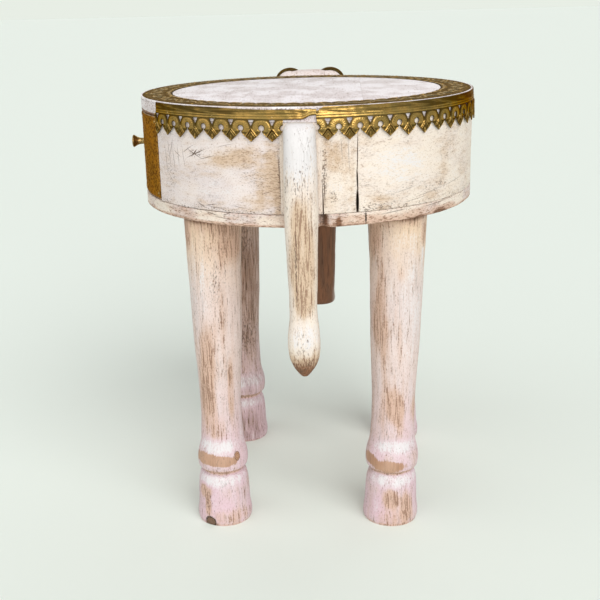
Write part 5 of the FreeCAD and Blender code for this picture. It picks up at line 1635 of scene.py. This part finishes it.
class TABLE_OT_stage(bpy.types.Operator):
    """Plain floor, soft light and the camera of the photograph"""

    bl_idname = "table.stage"
    bl_label = "Stage"

    CAMERA_AT = Vector((0.0539, -1.243, 0.610))
    CAMERA_LOOK = Vector((-0.0468, 0.9545, -0.2944))
    CAMERA_ROLL = -1.41
    # Each lamp: where its light comes from, and how wide it is in degrees
    LAMPS = {
        "key": ((0.38, -0.62, 0.68), 45),
        "front": ((0.205, -0.965, 0.16), 40),
        "fill": ((-0.60, -0.50, 0.60), 80),
        "back": ((0.10, 0.80, 0.60), 80),
    }

    def execute(self, context):
        stage = context.scene.table_stage
        context.scene.view_settings.view_transform = "Standard"
        self.floor(stage)
        self.world(context, stage)
        for name, (source, wide) in self.LAMPS.items():
            lamp = bpy.data.lights.new("lamp_" + name, "SUN")
            lamp.energy = math.pi * getattr(stage, name)
            lamp.angle = math.radians(wide)
            self.placed(context, lamp, (0, 0, 0), Vector(source).to_track_quat("Z", "Y"))
        camera = bpy.data.cameras.new("photo_camera")
        camera.lens = stage.lens
        camera.sensor_width = 36.0
        camera.clip_start = 0.01
        camera.clip_end = 200.0
        roll = Quaternion((0, 0, 1), math.radians(self.CAMERA_ROLL))
        turn = self.CAMERA_LOOK.to_track_quat("-Z", "Y") @ roll
        context.scene.camera = self.placed(context, camera, self.CAMERA_AT, turn)
        return {"FINISHED"}

    def placed(self, context, data, at, turn):
        """Puts a lamp or camera into the scene."""
        holder = bpy.data.objects.new(data.name, data)
        holder.location = at
        holder.rotation_mode = "QUATERNION"
        holder.rotation_quaternion = turn
        context.scene.collection.objects.link(holder)
        return holder

    def floor(self, stage):
        select_only(None)
        bpy.ops.mesh.primitive_plane_add(size=60)
        floor = bpy.context.object
        floor.name = "stage_floor"
        paint = Finish("floor_paint", Base_Color=(*stage.floor, 1.0), Roughness=1.0,
                       Specular_IOR_Level=0.0)
        floor.data.materials.append(paint.material)

    def world(self, context, stage):
        """Soft light from all round, which camera and reflections see as the plain backdrop."""
        world = bpy.data.worlds.new("studio")
        world.use_nodes = True
        sky = Nodes(world.node_tree)
        light = sky.tree.nodes["Background"]
        light.inputs["Color"].default_value = (1.0, 1.0, 1.0, 1.0)
        light.inputs["Strength"].default_value = stage.ambient
        backdrop = sky.node("ShaderNodeBackground", {}, {"Color": (*stage.backdrop, 1.0)})
        camera, glossy, through_glass = (sky.node("ShaderNodeLightPath", output=f"Is {ray} Ray")
                                         for ray in ("Camera", "Glossy", "Transmission"))
        seen = camera.top(glossy).top(through_glass)
        blend = sky.node("ShaderNodeMixShader", {}, {0: seen, 1: Tone(sky, light.outputs[0]), 2: backdrop})
        sky.tree.links.new(blend.socket, sky.tree.nodes["World Output"].inputs["Surface"])
        context.scene.world = world


OPERATORS = (
    TABLE_OT_stage, TABLE_OT_walls, TABLE_OT_bottom, TABLE_OT_top, TABLE_OT_border, TABLE_OT_ring,
    TABLE_OT_drawer_front, TABLE_OT_legs, TABLE_OT_tail, TABLE_OT_head, TABLE_OT_head_trim,
    TABLE_OT_carried,
)
GROUPS = {
    "table_sizes": TableSizes,
    "table_paints": PaintColours,
    "table_brasses": BrassColours,
    "table_inners": InnerColours,
    "table_stage": StageSettings,
}


class TABLE_PT_pieces(bpy.types.Panel):
    """Lists the table's pieces"""

    bl_idname = "TABLE_PT_pieces"
    bl_label = "Elephant table"
    bl_space_type = "VIEW_3D"
    bl_region_type = "UI"
    bl_category = "Table"

    def draw(self, context):
        for operator in OPERATORS:
            self.layout.operator(operator.bl_idname)
        for name, group in GROUPS.items():
            box = self.layout.box()
            for key in group.__annotations__:
                box.prop(getattr(context.scene, name), key)


CLASSES = (*GROUPS.values(), *OPERATORS, TABLE_PT_pieces)


def register():
    for kind in CLASSES:
        bpy.utils.register_class(kind)
    for name, group in GROUPS.items():
        setattr(bpy.types.Scene, name, PointerProperty(type=group))


def unregister():
    for name in GROUPS:
        delattr(bpy.types.Scene, name)
    for kind in reversed(CLASSES):
        bpy.utils.unregister_class(kind)


def main():
    register()
    for operator in OPERATORS:
        group, name = operator.bl_idname.split(".")
        getattr(getattr(bpy.ops, group), name)()


if __name__ == "__main__":
    main()
